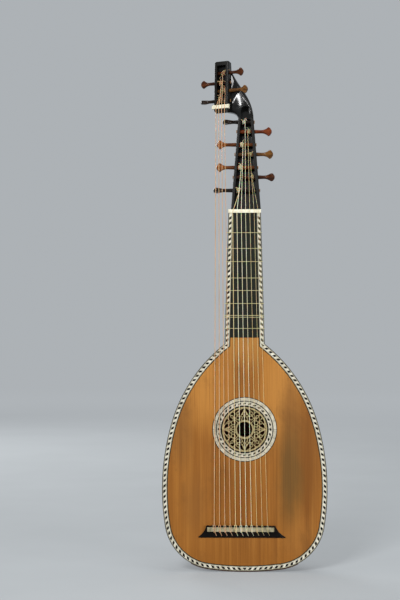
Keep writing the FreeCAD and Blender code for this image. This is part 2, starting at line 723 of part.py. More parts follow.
def neck_back(z, grow=0.0):
    """The back of the neck at height z, moved out by grow: three arcs from the treble side round
    to the bass side."""
    half = neck_half(z)
    depth = between(NECK_JOIN_DEPTH, NECK_NUT_DEPTH, neck_share(z))
    front = SOUNDBOARD_THICKNESS
    side = NECK_SIDE_RADIUS_SHARE * depth
    centre = half - side
    drop = (centre ** 2 - (depth - side) ** 2) / (2 * (depth - side))
    turn = math.atan2(drop, centre)

    def on_side(angle, sign):
        radius = side + grow
        x = centre + radius * math.cos(angle)
        return Vector(sign * x, front + radius * math.sin(angle), z)

    right = Part.Arc(on_side(0, 1), on_side(turn / 2, 1), on_side(turn, 1)).toShape()
    deepest = Vector(0, front + depth + grow, z)
    back = Part.Arc(on_side(turn, 1), deepest, on_side(turn, -1)).toShape()
    left = Part.Arc(on_side(turn, -1), on_side(turn / 2, -1), on_side(0, -1)).toShape()
    return [right, back, left]


def make_neck():
    sections = []
    for z in (JOIN_Z, NECK_END_Z):
        front = SOUNDBOARD_THICKNESS
        across = line(Vector(-neck_half(z), front, z), Vector(neck_half(z), front, z))
        sections.append(Part.Wire(neck_back(z) + [across]))
    return Part.makeLoft(sections, True, True).cut(nail_shaft())


def fret_z(number):
    """Height of a fret: its equal-tempered place, less the shift it is tied at."""
    stopped = STRING_LENGTH * (1 - 2 ** (-number / 12))
    return FINGERBOARD_TOP_Z - stopped - FRET_SHIFTS[number - 1]


def fret_loop(z):
    """One loop of gut round the neck: straight over the fingerboard and close round the back,
    with its two ends in a knot on the bass side."""
    radius = FRET_DIAMETER / 2
    front = -(radius + FRET_FRONT_GAP)
    grow = radius + FRET_SIDE_GAP
    side = neck_half(z) + grow
    back = SOUNDBOARD_THICKNESS
    corner_points = [
        Vector(-side, back - FRET_DIAMETER, z),
        Vector(-side, front, z),
        Vector(side, front, z),
        Vector(side, back, z),
    ]
    edges = rounded_path(corner_points, [FRET_CORNER_RADIUS] * 2) + neck_back(z, grow)
    knot_x = -(neck_half(z) + FRET_SIDE_GAP + FRET_KNOT_RADIUS)
    base = Vector(knot_x, back - FRET_DIAMETER / 2 - FRET_KNOT_LENGTH / 2, z)
    knot = Part.makeCylinder(FRET_KNOT_RADIUS, FRET_KNOT_LENGTH, base, Vector(0, 1, 0))
    return tube(edges, radius).fuse(knot)


def make_fret(number):
    z = fret_z(number)
    if number != DOUBLE_FRET:
        return fret_loop(z)
    half = DOUBLE_FRET_SPACING / 2
    return Part.Compound([fret_loop(z - half), fret_loop(z + half)])


# Paths of round gut


def rounded_path(points, radii):
    """Straight runs between the points, with a tangent arc of each radius at each inner corner."""
    edges = []
    start = points[0]
    for number, radius in enumerate(radii, start=1):
        corner = points[number]
        before = (corner - points[number - 1]).normalize()
        after = (points[number + 1] - corner).normalize()
        half_turn = before.getAngle(after) / 2
        reach = radius * math.tan(half_turn)
        inward = (after - before).normalize()
        first = corner - before * reach
        middle = corner + inward * (radius / math.cos(half_turn) - radius)
        last = corner + after * reach
        edges.append(line(start, first))
        edges.append(Part.Arc(first, middle, last).toShape())
        start = last
    edges.append(line(start, points[-1]))
    return edges


def biarc(start, leaving, end, arriving):
    """Two tangent arcs from start to end, with unit directions leaving and arriving."""
    chord = end - start
    both = leaving + arriving
    along = chord.dot(both)
    spread = 4 - both.dot(both)
    reach = (math.sqrt(along ** 2 + chord.dot(chord) * spread) - along) / spread
    first_corner = start + leaving * reach
    last_corner = end - arriving * reach
    joint = (first_corner + last_corner) * 0.5
    edges = []
    for first, corner, last in ((start, first_corner, joint), (joint, last_corner, end)):
        base = (first + last) * 0.5
        half_angle = (corner - first).getAngle(last - first)
        rise = (last - first).Length / 2 * math.tan(half_angle / 2)
        middle = base + (corner - base).normalize() * rise
        edges.append(Part.Arc(first, middle, last).toShape())
    return edges


def tube(edges, radius):
    """A round tube along tangent edges, as one solid."""
    first = edges[0]
    start = first.valueAt(first.FirstParameter)
    profile = Part.Wire(Part.makeCircle(radius, start, first.tangentAt(first.FirstParameter)))
    return Part.Wire(edges).makePipeShell([profile], True, False)


# Frames of the pegboxes: x across, y into the depth, z up the pegbox


LOWER_FRAME = Placement(
    Vector(PEGBOX_X, PEGBOX_FRONT_Y, NECK_END_Z),
    Rotation(Vector(1, 0, 0), -PEGBOX_LEAN),
)
PEGBOX_TOP = LOWER_FRAME.multVec(Vector(0, 0, PEGBOX_LENGTH))
UPPER_FRAME = Placement(
    PEGBOX_TOP + Vector(UPPER_NUT_X, UPPER_NUT_Y, UPPER_NUT_Z),
    Rotation(Vector(0, 0, 1), -UPPER_TURN)
    * Rotation(Vector(1, 0, 0), -UPPER_LEAN)
    * Rotation(Vector(0, 1, 0), -UPPER_ROLL),
)


def placed(shape, frame):
    result = shape.copy()
    result.transformShape(frame.toMatrix())
    return result


def lower_half_width(height):
    """Half the lower pegbox's outer width, height above its lower end."""
    return between(PEGBOX_NUT_WIDTH, PEGBOX_TOP_WIDTH, height / PEGBOX_LENGTH) / 2


def upper_depth(height):
    share = (height - UPPER_STRAIGHT_LENGTH) / (UPPER_LENGTH - UPPER_STRAIGHT_LENGTH)
    return between(UPPER_DEPTH, UPPER_TOP_DEPTH, max(share, 0.0))


class Peg:
    """A peg's place in its pegbox. In the peg's own frame x grows towards its head, from 0 where
    the shaft leaves the cheek."""

    def __init__(self, row, height, in_upper):
        self.string, self.side, self.end, self.turn, self.start, self.way, self.turns = row
        self.height = height
        self.frame = UPPER_FRAME if in_upper else LOWER_FRAME
        self.depth = UPPER_PEG_DEPTH if in_upper else LOWER_PEG_DEPTH
        self.radius = UPPER_PEG_RADIUS if in_upper else LOWER_PEG_RADIUS
        self.half_width = UPPER_WIDTH / 2 if in_upper else lower_half_width(height)
        self.head_share = UPPER_HEAD_SHARE if in_upper else 1.0

    def radius_at(self, x):
        """Radius of the shaft where it crosses x in the pegbox's frame."""
        return self.radius + PEG_TAPER * (x * self.side - self.half_width)

    def to_pegbox(self, shape):
        """From the peg's own frame, with its head towards +x, to the pegbox's frame."""
        if self.side < 0:
            shape.rotate(Vector(0, 0, 0), Vector(0, 0, 1), 180)
        shape.translate(Vector(self.side * self.half_width, self.depth, self.height))
        return shape

    def bore(self):
        """The tapered hole for the shaft, in the pegbox's frame."""
        length = 2 * self.half_width + 2 * PEG_TIP_PAST_CHEEK
        wide = self.radius + PEG_BORE_CLEARANCE + PEG_TAPER * PEG_TIP_PAST_CHEEK
        base = Vector(PEG_TIP_PAST_CHEEK, 0, 0)
        cone = Part.makeCone(wide, wide - PEG_TAPER * length, length, base, Vector(-1, 0, 0))
        return self.to_pegbox(cone)

    def coil_radius(self):
        wire = STRING_DIAMETERS[self.string - 1] / 2
        end = self.start + self.way * self.turns * (2 * wire + COIL_GAP)
        shaft = max(self.radius_at(self.start), self.radius_at(end))
        return shaft + COIL_CLEARANCE + wire


def make_pegs():
    pegs = []
    for place, row in enumerate(LOWER_PEGS):
        shift = LOWER_TREBLE_SHIFT if row[1] > 0 else 0.0
        pegs.append(Peg(row, LOWER_PEG_FIRST + place * LOWER_PEG_SPACING + shift, False))
    for place, row in enumerate(UPPER_PEGS):
        shift = UPPER_TREBLE_SHIFT if row[1] > 0 else 0.0
        pegs.append(Peg(row, UPPER_PEG_FIRST + place * UPPER_PEG_SPACING + shift, True))
    return sorted(pegs, key=lambda peg: peg.string)


def make_peg(peg):
    """The shaft and head turned in one, with the head flattened and a hole for the string."""
    tip = -2 * peg.half_width - PEG_TIP_PAST_CHEEK
    end = peg.end
    widest = end - (PEG_HEAD_LENGTH - PEG_HEAD_SWELL) * peg.head_share
    stem = end - PEG_HEAD_LENGTH * peg.head_share
    crown = end - PEG_HEAD_CROWN
    waist = PEG_WAIST_RADIUS * peg.head_share
    head = PEG_HEAD_RADIUS * peg.head_share
    taper_end = Vector(PEG_TAPER_END, 0, peg.radius + PEG_TAPER * PEG_TAPER_END)
    waist_start = Vector(stem - PEG_WAIST_LENGTH, 0, waist)
    waist_end = Vector(stem, 0, waist)
    swell = Vector(widest, 0, head)
    shoulder = Vector(crown, 0, head * PEG_CROWN_SHARE)
    outline = [
        line(Vector(tip, 0, 0), Vector(tip, 0, peg.radius + PEG_TAPER * tip)),
        line(Vector(tip, 0, peg.radius + PEG_TAPER * tip), taper_end),
        line(taper_end, waist_start),
        line(waist_start, waist_end),
        arc_between(waist_end, swell, PEG_SWELL_HOLLOW),
        arc_between(swell, shoulder, -PEG_HEAD_ROUND),
        arc_between(shoulder, Vector(end, 0, 0), -PEG_CROWN_ROUND),
        line(Vector(end, 0, 0), Vector(tip, 0, 0)),
    ]
    body = Part.Face(Part.Wire(outline)).revolve(Vector(0, 0, 0), Vector(1, 0, 0), 360)
    body = Part.Solid(body) if body.ShapeType == "Shell" else body
    thickness = PEG_HEAD_THICKNESS * peg.head_share
    flats = []
    for sign in (-1, 1):
        size = 3 * PEG_HEAD_RADIUS
        low = thickness / 2 if sign > 0 else -thickness / 2 - size
        flats.append(Part.makeBox(2 * size, size, 2 * size, Vector(stem, low, -size)))
    body = body.cut(flats)
    body.rotate(Vector(0, 0, 0), Vector(1, 0, 0), peg.turn)
    body = peg.to_pegbox(body)
    wire = STRING_DIAMETERS[peg.string - 1]
    hole_x = peg.start + peg.way * (peg.turns * (wire + COIL_GAP) + wire)
    base = Vector(hole_x, peg.depth - 2 * peg.radius, peg.height)
    hole = Part.makeCylinder(PEG_STRING_HOLE_RADIUS, 4 * peg.radius, base, Vector(0, 1, 0))
    return placed(body.cut(hole), peg.frame)


# Pegboxes, swan neck and nuts


def rounded_section(corner, across, deep, width, depth, front_round, back_round):
    """A rectangle with rounded corners, from its front corner on the left."""

    def at(along, down):
        return corner + across * along + deep * down

    def turn(along, down, radius, sign_along, sign_down):
        centre = at(along + sign_along * radius, down + sign_down * radius)
        return centre - (across * sign_along + deep * sign_down) * (radius * math.sqrt(0.5))

    front, back = front_round, back_round
    points = [
        at(front, 0), at(width - front, 0),
        turn(width, 0, front, -1, 1),
        at(width, front), at(width, depth - back),
        turn(width, depth, back, -1, -1),
        at(width - back, depth), at(back, depth),
        turn(0, depth, back, 1, -1),
        at(0, depth - back), at(0, front),
        turn(0, 0, front, 1, 1),
    ]
    edges = []
    for number in range(4):
        first, second, middle, third = (points + points[:1])[3 * number:3 * number + 4]
        edges.append(line(first, second))
        edges.append(Part.Arc(second, middle, third).toShape())
    return Part.Wire(edges)


def lower_section(height, back_round):
    half = lower_half_width(height)
    depth = between(PEGBOX_NUT_DEPTH, PEGBOX_TOP_DEPTH, height / PEGBOX_LENGTH)
    corner = Vector(-half, 0, height)
    across, deep = Vector(1, 0, 0), Vector(0, 1, 0)
    return rounded_section(corner, across, deep, 2 * half, depth, PEGBOX_FRONT_ROUND, back_round)


def lower_block():
    """The outside of the lower pegbox, in its frame."""
    low = lower_section(0.0, PEGBOX_NUT_ROUND)
    high = lower_section(PEGBOX_LENGTH, PEGBOX_TOP_ROUND)
    return Part.makeLoft([low, high], True, True)


def lower_cavity():
    """The hollow between the cheeks, open at the front, and past both ends."""
    points = []
    for side, cheek in ((-1, BASS_CHEEK), (1, TREBLE_CHEEK)):
        for height in (-1.0, PEGBOX_LENGTH + 1.0):
            points.append(Vector(side * (lower_half_width(height) - cheek), -1, height))
    plan = [points[0], points[1], points[3], points[2]]
    return prism(plan, Vector(0, PEGBOX_TOP_DEPTH + 2, 0))


def behind_neck():
    """Everything below the plane where the neck ends."""
    size = 4 * PEGBOX_NUT_WIDTH
    return Part.makeBox(size, size, size, Vector(-size / 2, -size / 2, NECK_END_Z - size))


def make_lower_pegbox(pegs):
    """The two cheeks and the back."""
    block = lower_block()
    low = PEGBOX_NUT_DEPTH - PEGBOX_BACK_THICKNESS
    high = PEGBOX_TOP_DEPTH - PEGBOX_BACK_THICKNESS
    size = PEGBOX_NUT_WIDTH
    side_view = [
        Vector(-size, low, 0),
        Vector(-size, high, PEGBOX_LENGTH),
        Vector(-size, high + size, PEGBOX_LENGTH),
        Vector(-size, low + size, 0),
    ]
    floor = prism(side_view, Vector(2 * size, 0, 0))
    bores = [peg.bore() for peg in pegs if peg.frame is LOWER_FRAME]
    cheeks = block.cut([floor, lower_cavity()] + bores)
    back = block.common(floor)
    bass, treble = sorted(cheeks.Solids, key=lambda solid: solid.CenterOfMass.x)
    cut = behind_neck()
    return [placed(piece, LOWER_FRAME).cut(cut) for piece in (bass, treble, back)]


def upper_block():
    """The outside of the upper pegbox, in its frame."""
    half = UPPER_WIDTH / 2
    side_view = [
        Vector(-half, 0, -UPPER_BELOW_NUT),
        Vector(-half, 0, UPPER_LENGTH),
        Vector(-half, UPPER_TOP_DEPTH, UPPER_LENGTH),
        Vector(-half, UPPER_DEPTH, UPPER_STRAIGHT_LENGTH),
        Vector(-half, UPPER_DEPTH, UPPER_BOTTOM_RISE - UPPER_BELOW_NUT),
    ]
    corner = UPPER_BOTTOM_CORNER
    front_view = [
        Vector(-half, 0, corner - UPPER_BELOW_NUT),
        Vector(corner - half, 0, -UPPER_BELOW_NUT),
        Vector(half, 0, -UPPER_BELOW_NUT),
        Vector(half, 0, UPPER_LENGTH),
        Vector(UPPER_TOP_CORNER - half, 0, UPPER_LENGTH),
        Vector(-half, 0, UPPER_LENGTH - UPPER_TOP_CORNER),
    ]
    block = prism(side_view, Vector(UPPER_WIDTH, 0, 0))
    block = block.common(prism(front_view, Vector(0, UPPER_DEPTH, 0)))
    front = []
    for edge in block.Edges:
        centre = edge.CenterOfMass
        if abs(centre.y) < 0.01 and abs(abs(centre.x) - half) < 0.01:
            front.append(edge)
    return block.makeFillet(UPPER_FRONT_ROUND, front)


def nut_block(width, thickness, height, back_height, flat, seat):
    """A nut with a flat top that falls away behind, standing on z = 0 and lying in y = 0."""
    half = width / 2
    side_view = [
        Vector(-half, seat, 0),
        Vector(-half, -height, 0),
        Vector(-half, -height, flat),
        Vector(-half, -back_height, thickness),
        Vector(-half, seat, thickness),
    ]
    return prism(side_view, Vector(width, 0, 0))


def make_upper_pegbox(pegs):
    half = UPPER_CAVITY_WIDTH / 2
    low = UPPER_NUT_THICKNESS / 2
    high = UPPER_LENGTH - UPPER_TOP_WALL
    side_view = [
        Vector(-half, -1, low),
        Vector(-half, -1, high),
        Vector(-half, upper_depth(high) - UPPER_BACK_WALL, high),
        Vector(-half, UPPER_DEPTH - UPPER_BACK_WALL, UPPER_STRAIGHT_LENGTH),
        Vector(-half, UPPER_DEPTH - UPPER_BACK_WALL, low),
    ]
    cavity = prism(side_view, Vector(UPPER_CAVITY_WIDTH, 0, 0))
    base = Vector(-UPPER_WIDTH, -1, -UPPER_NUT_THICKNESS / 2)
    seat = Part.makeBox(2 * UPPER_WIDTH, UPPER_NUT_SEAT + 1, UPPER_NUT_THICKNESS, base)
    bores = [peg.bore() for peg in pegs if peg.frame is UPPER_FRAME]
    return placed(upper_block().cut([cavity, seat] + bores), UPPER_FRAME)


def make_swan_neck():
    """The curved block from the lower pegbox's end to the back of the upper pegbox."""
    across = LOWER_FRAME.Rotation.multVec(Vector(1, 0, 0))
    deep = LOWER_FRAME.Rotation.multVec(Vector(0, 1, 0))
    corner = LOWER_FRAME.multVec(Vector(-PEGBOX_TOP_WIDTH / 2, 0, PEGBOX_LENGTH))
    sections = [
        rounded_section(
            corner, across, deep, PEGBOX_TOP_WIDTH, PEGBOX_TOP_DEPTH,
            PEGBOX_FRONT_ROUND, PEGBOX_TOP_ROUND,
        )
    ]
    for inner, outer, front_y, thickness, front_round in SWAN_STATIONS:
        left = PEGBOX_TOP + Vector(inner[0], front_y, inner[1])
        span = PEGBOX_TOP + Vector(outer[0], front_y, outer[1]) - left
        width = span.Length
        section = rounded_section(
            left, span.normalize(), Vector(0, 1, 0), width, thickness,
            front_round, SWAN_BACK_ROUND,
        )
        sections.append(section)
    block = Part.makeLoft(sections, True, False, False, SWAN_CURVE_DEGREE)
    return block.cut([placed(upper_block(), UPPER_FRAME), placed(arch_end(), LOWER_FRAME)])


def arch_end():
    """The round end of the lower pegbox's hollow, which runs up into the swan neck."""
    left = -(lower_half_width(PEGBOX_LENGTH) - BASS_CHEEK)
    right = lower_half_width(PEGBOX_LENGTH) - TREBLE_CHEEK
    radius = (right - left) / 2
    highest = PEGBOX_LENGTH + ARCH_RISE
    top = Vector((left + right) / 2, -ARCH_DEPTH, highest)
    left_foot = Vector(left, -ARCH_DEPTH, PEGBOX_LENGTH - 1)
    right_foot = Vector(right, -ARCH_DEPTH, PEGBOX_LENGTH - 1)
    left_spring = Vector(left, -ARCH_DEPTH, highest - radius)
    right_spring = Vector(right, -ARCH_DEPTH, highest - radius)
    edges = [
        line(left_foot, left_spring),
        Part.Arc(left_spring, top, right_spring).toShape(),
        line(right_spring, right_foot),
        line(right_foot, left_foot),
    ]
    return Part.Face(Part.Wire(edges)).extrude(Vector(0, 2 * ARCH_DEPTH, 0))


# Bridge


def make_bridge(strings):
    """The tie block with its slope, its drawn-out ends and a hole for each string."""
    front, back = BRIDGE_FRONT_Z, BRIDGE_BACK_Z - BRIDGE_SLOPE_LENGTH
    longest = BRIDGE_HALF_WIDTH + max(BRIDGE_BASS_TIP, BRIDGE_TREBLE_TIP)
    side_view = [
        Vector(-longest, 0, front),
        Vector(-longest, -BRIDGE_HEIGHT, front),
        Vector(-longest, -BRIDGE_HEIGHT, BRIDGE_BACK_Z),
        Vector(-longest, -BRIDGE_SLOPE_HEIGHT, BRIDGE_BACK_Z),
        Vector(-longest, -BRIDGE_TOE_HEIGHT, back),
        Vector(-longest, 0, back),
    ]
    treble = bridge_half(BRIDGE_TREBLE_TIP, back)
    bass = mirrored(bridge_half(BRIDGE_BASS_TIP, back))
    body = treble.fuse(bass).common(prism(side_view, Vector(2 * longest, 0, 0)))
    body = body.removeSplitter()
    body.translate(Vector(BRIDGE_X, 0, 0))
    holes = []
    for string in strings:
        start, toward = string.bridge_hole()
        radius = string.radius + TIE_HOLE_CLEARANCE
        holes.append(Part.makeCylinder(radius, 2 * BRIDGE_BLOCK_LENGTH, start, toward))
    return body.cut(holes)


def bridge_half(tip_length, back):
    """The treble half of the bridge at full height, with its end drawn out by tip_length. The end
    is hollowed in plan, and it falls in a hollow towards its tip."""
    half, tip, front = BRIDGE_HALF_WIDTH, BRIDGE_HALF_WIDTH + tip_length, BRIDGE_FRONT_Z
    tip_z = back + BRIDGE_TIP_LENGTH
    hollow = BRIDGE_TIP_HOLLOW
    bow = Vector(between(half, tip, 0.5) - hollow, 0, between(front, tip_z, 0.5) - hollow)
    plan = [
        line(Vector(0, 0, front), Vector(half, 0, front)),
        Part.Arc(Vector(half, 0, front), bow, Vector(tip, 0, tip_z)).toShape(),
        line(Vector(tip, 0, tip_z), Vector(tip, 0, back)),
        line(Vector(tip, 0, back), Vector(0, 0, back)),
        line(Vector(0, 0, back), Vector(0, 0, front)),
    ]
    high, toe = BRIDGE_HEIGHT, BRIDGE_TOE_HEIGHT
    along = between(half, tip, BRIDGE_TIP_FALL_ALONG)
    fall = Vector(along, -between(high, toe, BRIDGE_TIP_FALL_DOWN), back)
    front_view = [
        line(Vector(0, -high, back), Vector(half, -high, back)),
        Part.Arc(Vector(half, -high, back), fall, Vector(tip, -toe, back)).toShape(),
        line(Vector(tip, -toe, back), Vector(tip, 0, back)),
        line(Vector(tip, 0, back), Vector(0, 0, back)),
        line(Vector(0, 0, back), Vector(0, -high, back)),
    ]
    flat = Part.Face(Part.Wire(plan)).extrude(Vector(0, -high, 0))
    return flat.common(Part.Face(Part.Wire(front_view)).extrude(Vector(0, 0, front - back)))


def make_bridge_cap():
    half = BRIDGE_HALF_WIDTH - BRIDGE_CAP_END_GAP
    length = BRIDGE_BLOCK_LENGTH - BRIDGE_CAP_SETBACK - BRIDGE_CAP_BACK_GAP
    base = Vector(
        BRIDGE_X - half,
        -BRIDGE_HEIGHT - BRIDGE_CAP_THICKNESS,
        BRIDGE_BACK_Z + BRIDGE_CAP_BACK_GAP,
    )
    return Part.makeBox(2 * half, BRIDGE_CAP_THICKNESS, length, base)


# Strings


class GutString:
    """One string's path: its tie on the bridge, its run to the nut, and its turns on its peg."""

    def __init__(self, peg):
        self.number = peg.string
        self.peg = peg
        self.radius = STRING_DIAMETERS[peg.string - 1] / 2
        place = (len(STRING_DIAMETERS) + 1) / 2 - self.number
        self.bridge_x = BRIDGE_STRINGS_X + place * BRIDGE_SPACING
        if self.number <= STOPPED_COUNT:
            place = (STOPPED_COUNT + 1) / 2 - self.number
            x = NUT_STRINGS_X + place * NUT_SPACING
            self.crest = Vector(x, -NUT_HEIGHT, FINGERBOARD_TOP_Z + NUT_CREST)
        else:
            place = (STOPPED_COUNT + 1 + len(STRING_DIAMETERS)) / 2 - self.number
            crest = UPPER_NUT_CREST - UPPER_NUT_THICKNESS / 2
            self.crest = UPPER_FRAME.multVec(
                Vector(place * UPPER_NUT_SPACING, -UPPER_NUT_HEIGHT, crest)
            )

    def tie_points(self):
        """Corners from the loose end: along the cap, round under the string, back over the cap
        and round the back of the block to the hole."""
        x, wire = self.bridge_x, 2 * self.radius
        over = -(BRIDGE_HEIGHT + BRIDGE_CAP_THICKNESS + self.radius + GROOVE_CLEARANCE)
        under = -STRING_OVER_SOUNDBOARD + wire + TIE_STRAND_GAP
        side = wire + TIE_STRAND_GAP
        front = BRIDGE_FRONT_Z + self.radius + TIE_STAND_OFF
        back = BRIDGE_BACK_Z - self.radius - TIE_STAND_OFF
        tail_z = back - BRIDGE_SLOPE_LENGTH * TIE_TAIL_SHARE
        tail_y = -(BRIDGE_SLOPE_HEIGHT + wire)
        return [
            Vector(x + side + TIE_TAIL_ACROSS, tail_y, tail_z),
            Vector(x + side, over, back),
            Vector(x + side, over, front),
            Vector(x + side, under, front),
            Vector(x - side, under, front),
            Vector(x - side, over, front),
            Vector(x, over, back),
            Vector(x, -STRING_OVER_SOUNDBOARD, back),
        ]

    def bridge_hole(self):
        start = self.tie_points()[-1]
        return start, (self.crest - start).normalize()

    def coil_start(self):
        """Where the string meets its turns: the point, its direction and its angle round the
        peg, in the pegbox's frame."""
        nut = self.peg.frame.inverse().multVec(self.crest)
        radius = self.peg.coil_radius()
        along, down = nut.z - self.peg.height, nut.y - self.peg.depth
        angle = math.atan2(down, along) + math.acos(radius / math.hypot(along, down))
        point = self.coil_point(angle, 0.0)
        return point, (point - nut).normalize(), angle

    def coil_point(self, angle, advance):
        radius = self.peg.coil_radius()
        return Vector(
            self.peg.start + self.peg.way * advance,
            self.peg.depth + radius * math.sin(angle),
            self.peg.height + radius * math.cos(angle),
        )

    def coil_edges(self):
        """Turns in half-turn steps, after a first quarter turn, in the pegbox's frame."""
        pitch = 2 * self.radius + COIL_GAP
        climb = self.peg.way * pitch / (2 * math.pi)
        point, direction, first = self.coil_start()
        edges = []
        turned = math.pi / 2
        last = 2 * math.pi * self.peg.turns
        while turned <= last:
            angle = first + turned
            end = self.coil_point(angle, pitch * turned / (2 * math.pi))
            radius = self.peg.coil_radius()
            arriving = Vector(climb, radius * math.cos(angle), -radius * math.sin(angle)).normalize()
            edges += biarc(point, direction, end, arriving)
            point, direction = end, arriving
            turned += math.pi
        return edges

    def make(self):
        meeting = self.peg.frame.multVec(self.coil_start()[0])
        ties = self.tie_points()
        bend = self.radius + TIE_BEND_OVER_RADIUS
        radii = [bend] * (len(ties) - 1) + [NUT_BEND_RADIUS]
        edges = rounded_path(ties + [self.crest, meeting], radii)
        turns = placed(Part.Compound(self.coil_edges()), self.peg.frame).Edges
        return tube(edges + turns, self.radius)

    def groove(self, up, reach):
        """The room that the string takes in its nut, open towards up."""
        meeting = self.peg.frame.multVec(self.coil_start()[0])
        arriving = (self.crest - self.tie_points()[-1]).normalize()
        leaving = (meeting - self.crest).normalize()
        half_turn = arriving.getAngle(leaving) / 2
        sunk = self.crest - up * (NUT_BEND_RADIUS / math.cos(half_turn) - NUT_BEND_RADIUS)
        radius = self.radius + GROOVE_CLEARANCE
        return [
            round_slot(sunk - arriving * reach, arriving * reach, radius, up),
            round_slot(sunk, leaving * reach, radius, up),
        ]


def round_slot(start, run, radius, up):
    """A round-bottomed slot along run, open towards up."""
    side = run.cross(up).normalize() * radius
    rise = side.cross(run).normalize()
    top = rise * SLOT_HEIGHT
    edges = [
        Part.Arc(start - side, start - rise * radius, start + side).toShape(),
        line(start + side, start + side + top),
        line(start + side + top, start - side + top),
        line(start - side + top, start - side),
    ]
    return Part.Face(Part.Wire(edges)).extrude(run)


def make_nut(strings):
    nut = nut_block(
        NUT_WIDTH, NUT_THICKNESS, NUT_HEIGHT, NUT_BACK_HEIGHT, NUT_FLAT, SOUNDBOARD_THICKNESS
    )
    nut.translate(Vector(0, 0, FINGERBOARD_TOP_Z))
    up = Vector(0, -1, 0)
    for string in strings:
        if string.number <= STOPPED_COUNT:
            nut = nut.cut(string.groove(up, 2 * NUT_THICKNESS))
    return nut


def make_upper_nut(strings):
    nut = nut_block(
        UPPER_NUT_WIDTH, UPPER_NUT_THICKNESS, UPPER_NUT_HEIGHT, UPPER_NUT_BACK_HEIGHT,
        UPPER_NUT_FLAT, UPPER_NUT_SEAT,
    )
    nut.translate(Vector(0, 0, -UPPER_NUT_THICKNESS / 2))
    nut = placed(nut, UPPER_FRAME)
    up = UPPER_FRAME.Rotation.multVec(Vector(0, -1, 0))
    for string in strings:
        if string.number > STOPPED_COUNT:
            nut = nut.cut(string.groove(up, 2 * UPPER_NUT_THICKNESS))
    return nut


def least_gap(string):
    """Least gap between turns of the coil that lie more than half a turn apart."""
    points = []
    for edge in string.coil_edges():
        points += edge.discretize(16)[:-1]
    half_turn = int(len(points) / (string.peg.turns * 2)) + 1
    least = math.inf
    for number, point in enumerate(points):
        for other in points[number + half_turn:]:
            least = min(least, point.distanceToPoint(other))
    return least - 2 * string.radius


def main():
    os.makedirs("parts", exist_ok=True)
    pegs = make_pegs()
    strings = [GutString(peg) for peg in pegs]
    ring_lozenges = make_ring_lozenges()
    rope_lozenges = make_rope_lozenges()
    outer_bone, inner_bone = make_rings(BONE_RING_EDGES)
    ebony = make_rings(EBONY_RING_EDGES) + ring_lozenges + rope_lozenges
    bass_cheek, treble_cheek, pegbox_back = make_lower_pegbox(pegs)
    nodes = {
        "soundboard": make_soundboard(),
        "rose": make_rose(),
        "rose_rings": Part.Compound([outer_bone, inner_bone.cut(ring_lozenges)]),
        "edging": make_edging(rope_lozenges),
        "ebony_inlay": Part.Compound(ebony),
        "end_clasp": make_end_clasp(),
        "end_liner": make_end_liner(),
        "neck_block": make_neck_block(),
        "neck_nail": make_neck_nail(),
        "soundboard_bars": make_bars(),
        "neck": make_neck(),
        "fingerboard": make_fingerboard(),
        "nut": make_nut(strings),
        "bridge": make_bridge(strings),
        "bridge_cap": make_bridge_cap(),
        "pegbox_cheek_bass": bass_cheek,
        "pegbox_cheek_treble": treble_cheek,
        "pegbox_back": pegbox_back,
        "swan_neck": make_swan_neck(),
        "upper_pegbox": make_upper_pegbox(pegs),
        "upper_nut": make_upper_nut(strings),
    }
    for number in range(RIB_COUNT):
        nodes[f"rib_{number + 1}"] = stave(number, 0.0, RIB_THICKNESS)
    for number in range(1, len(FRET_SHIFTS) + 1):
        nodes[f"fret_{number}"] = make_fret(number)
    for peg, string in zip(pegs, strings):
        nodes[f"peg_{peg.string}"] = make_peg(peg)
        nodes[f"string_{string.number}"] = string.make()
        print(f"string_{string.number}: least gap between turns {least_gap(string):.3f} mm")
    for name, shape in nodes.items():
        shape.exportStep(f"parts/{name}.step")
        solids = len(shape.Solids)
        print(f"{name}: {solids} solids, {shape.Volume:.1f} mm3, valid {shape.isValid()}")


if __name__ == "__main__":
    main()
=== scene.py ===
"""Looks of a small theorbo: its woods, ebony, bone, gut and a pale studio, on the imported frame."""
import json
import math
import random

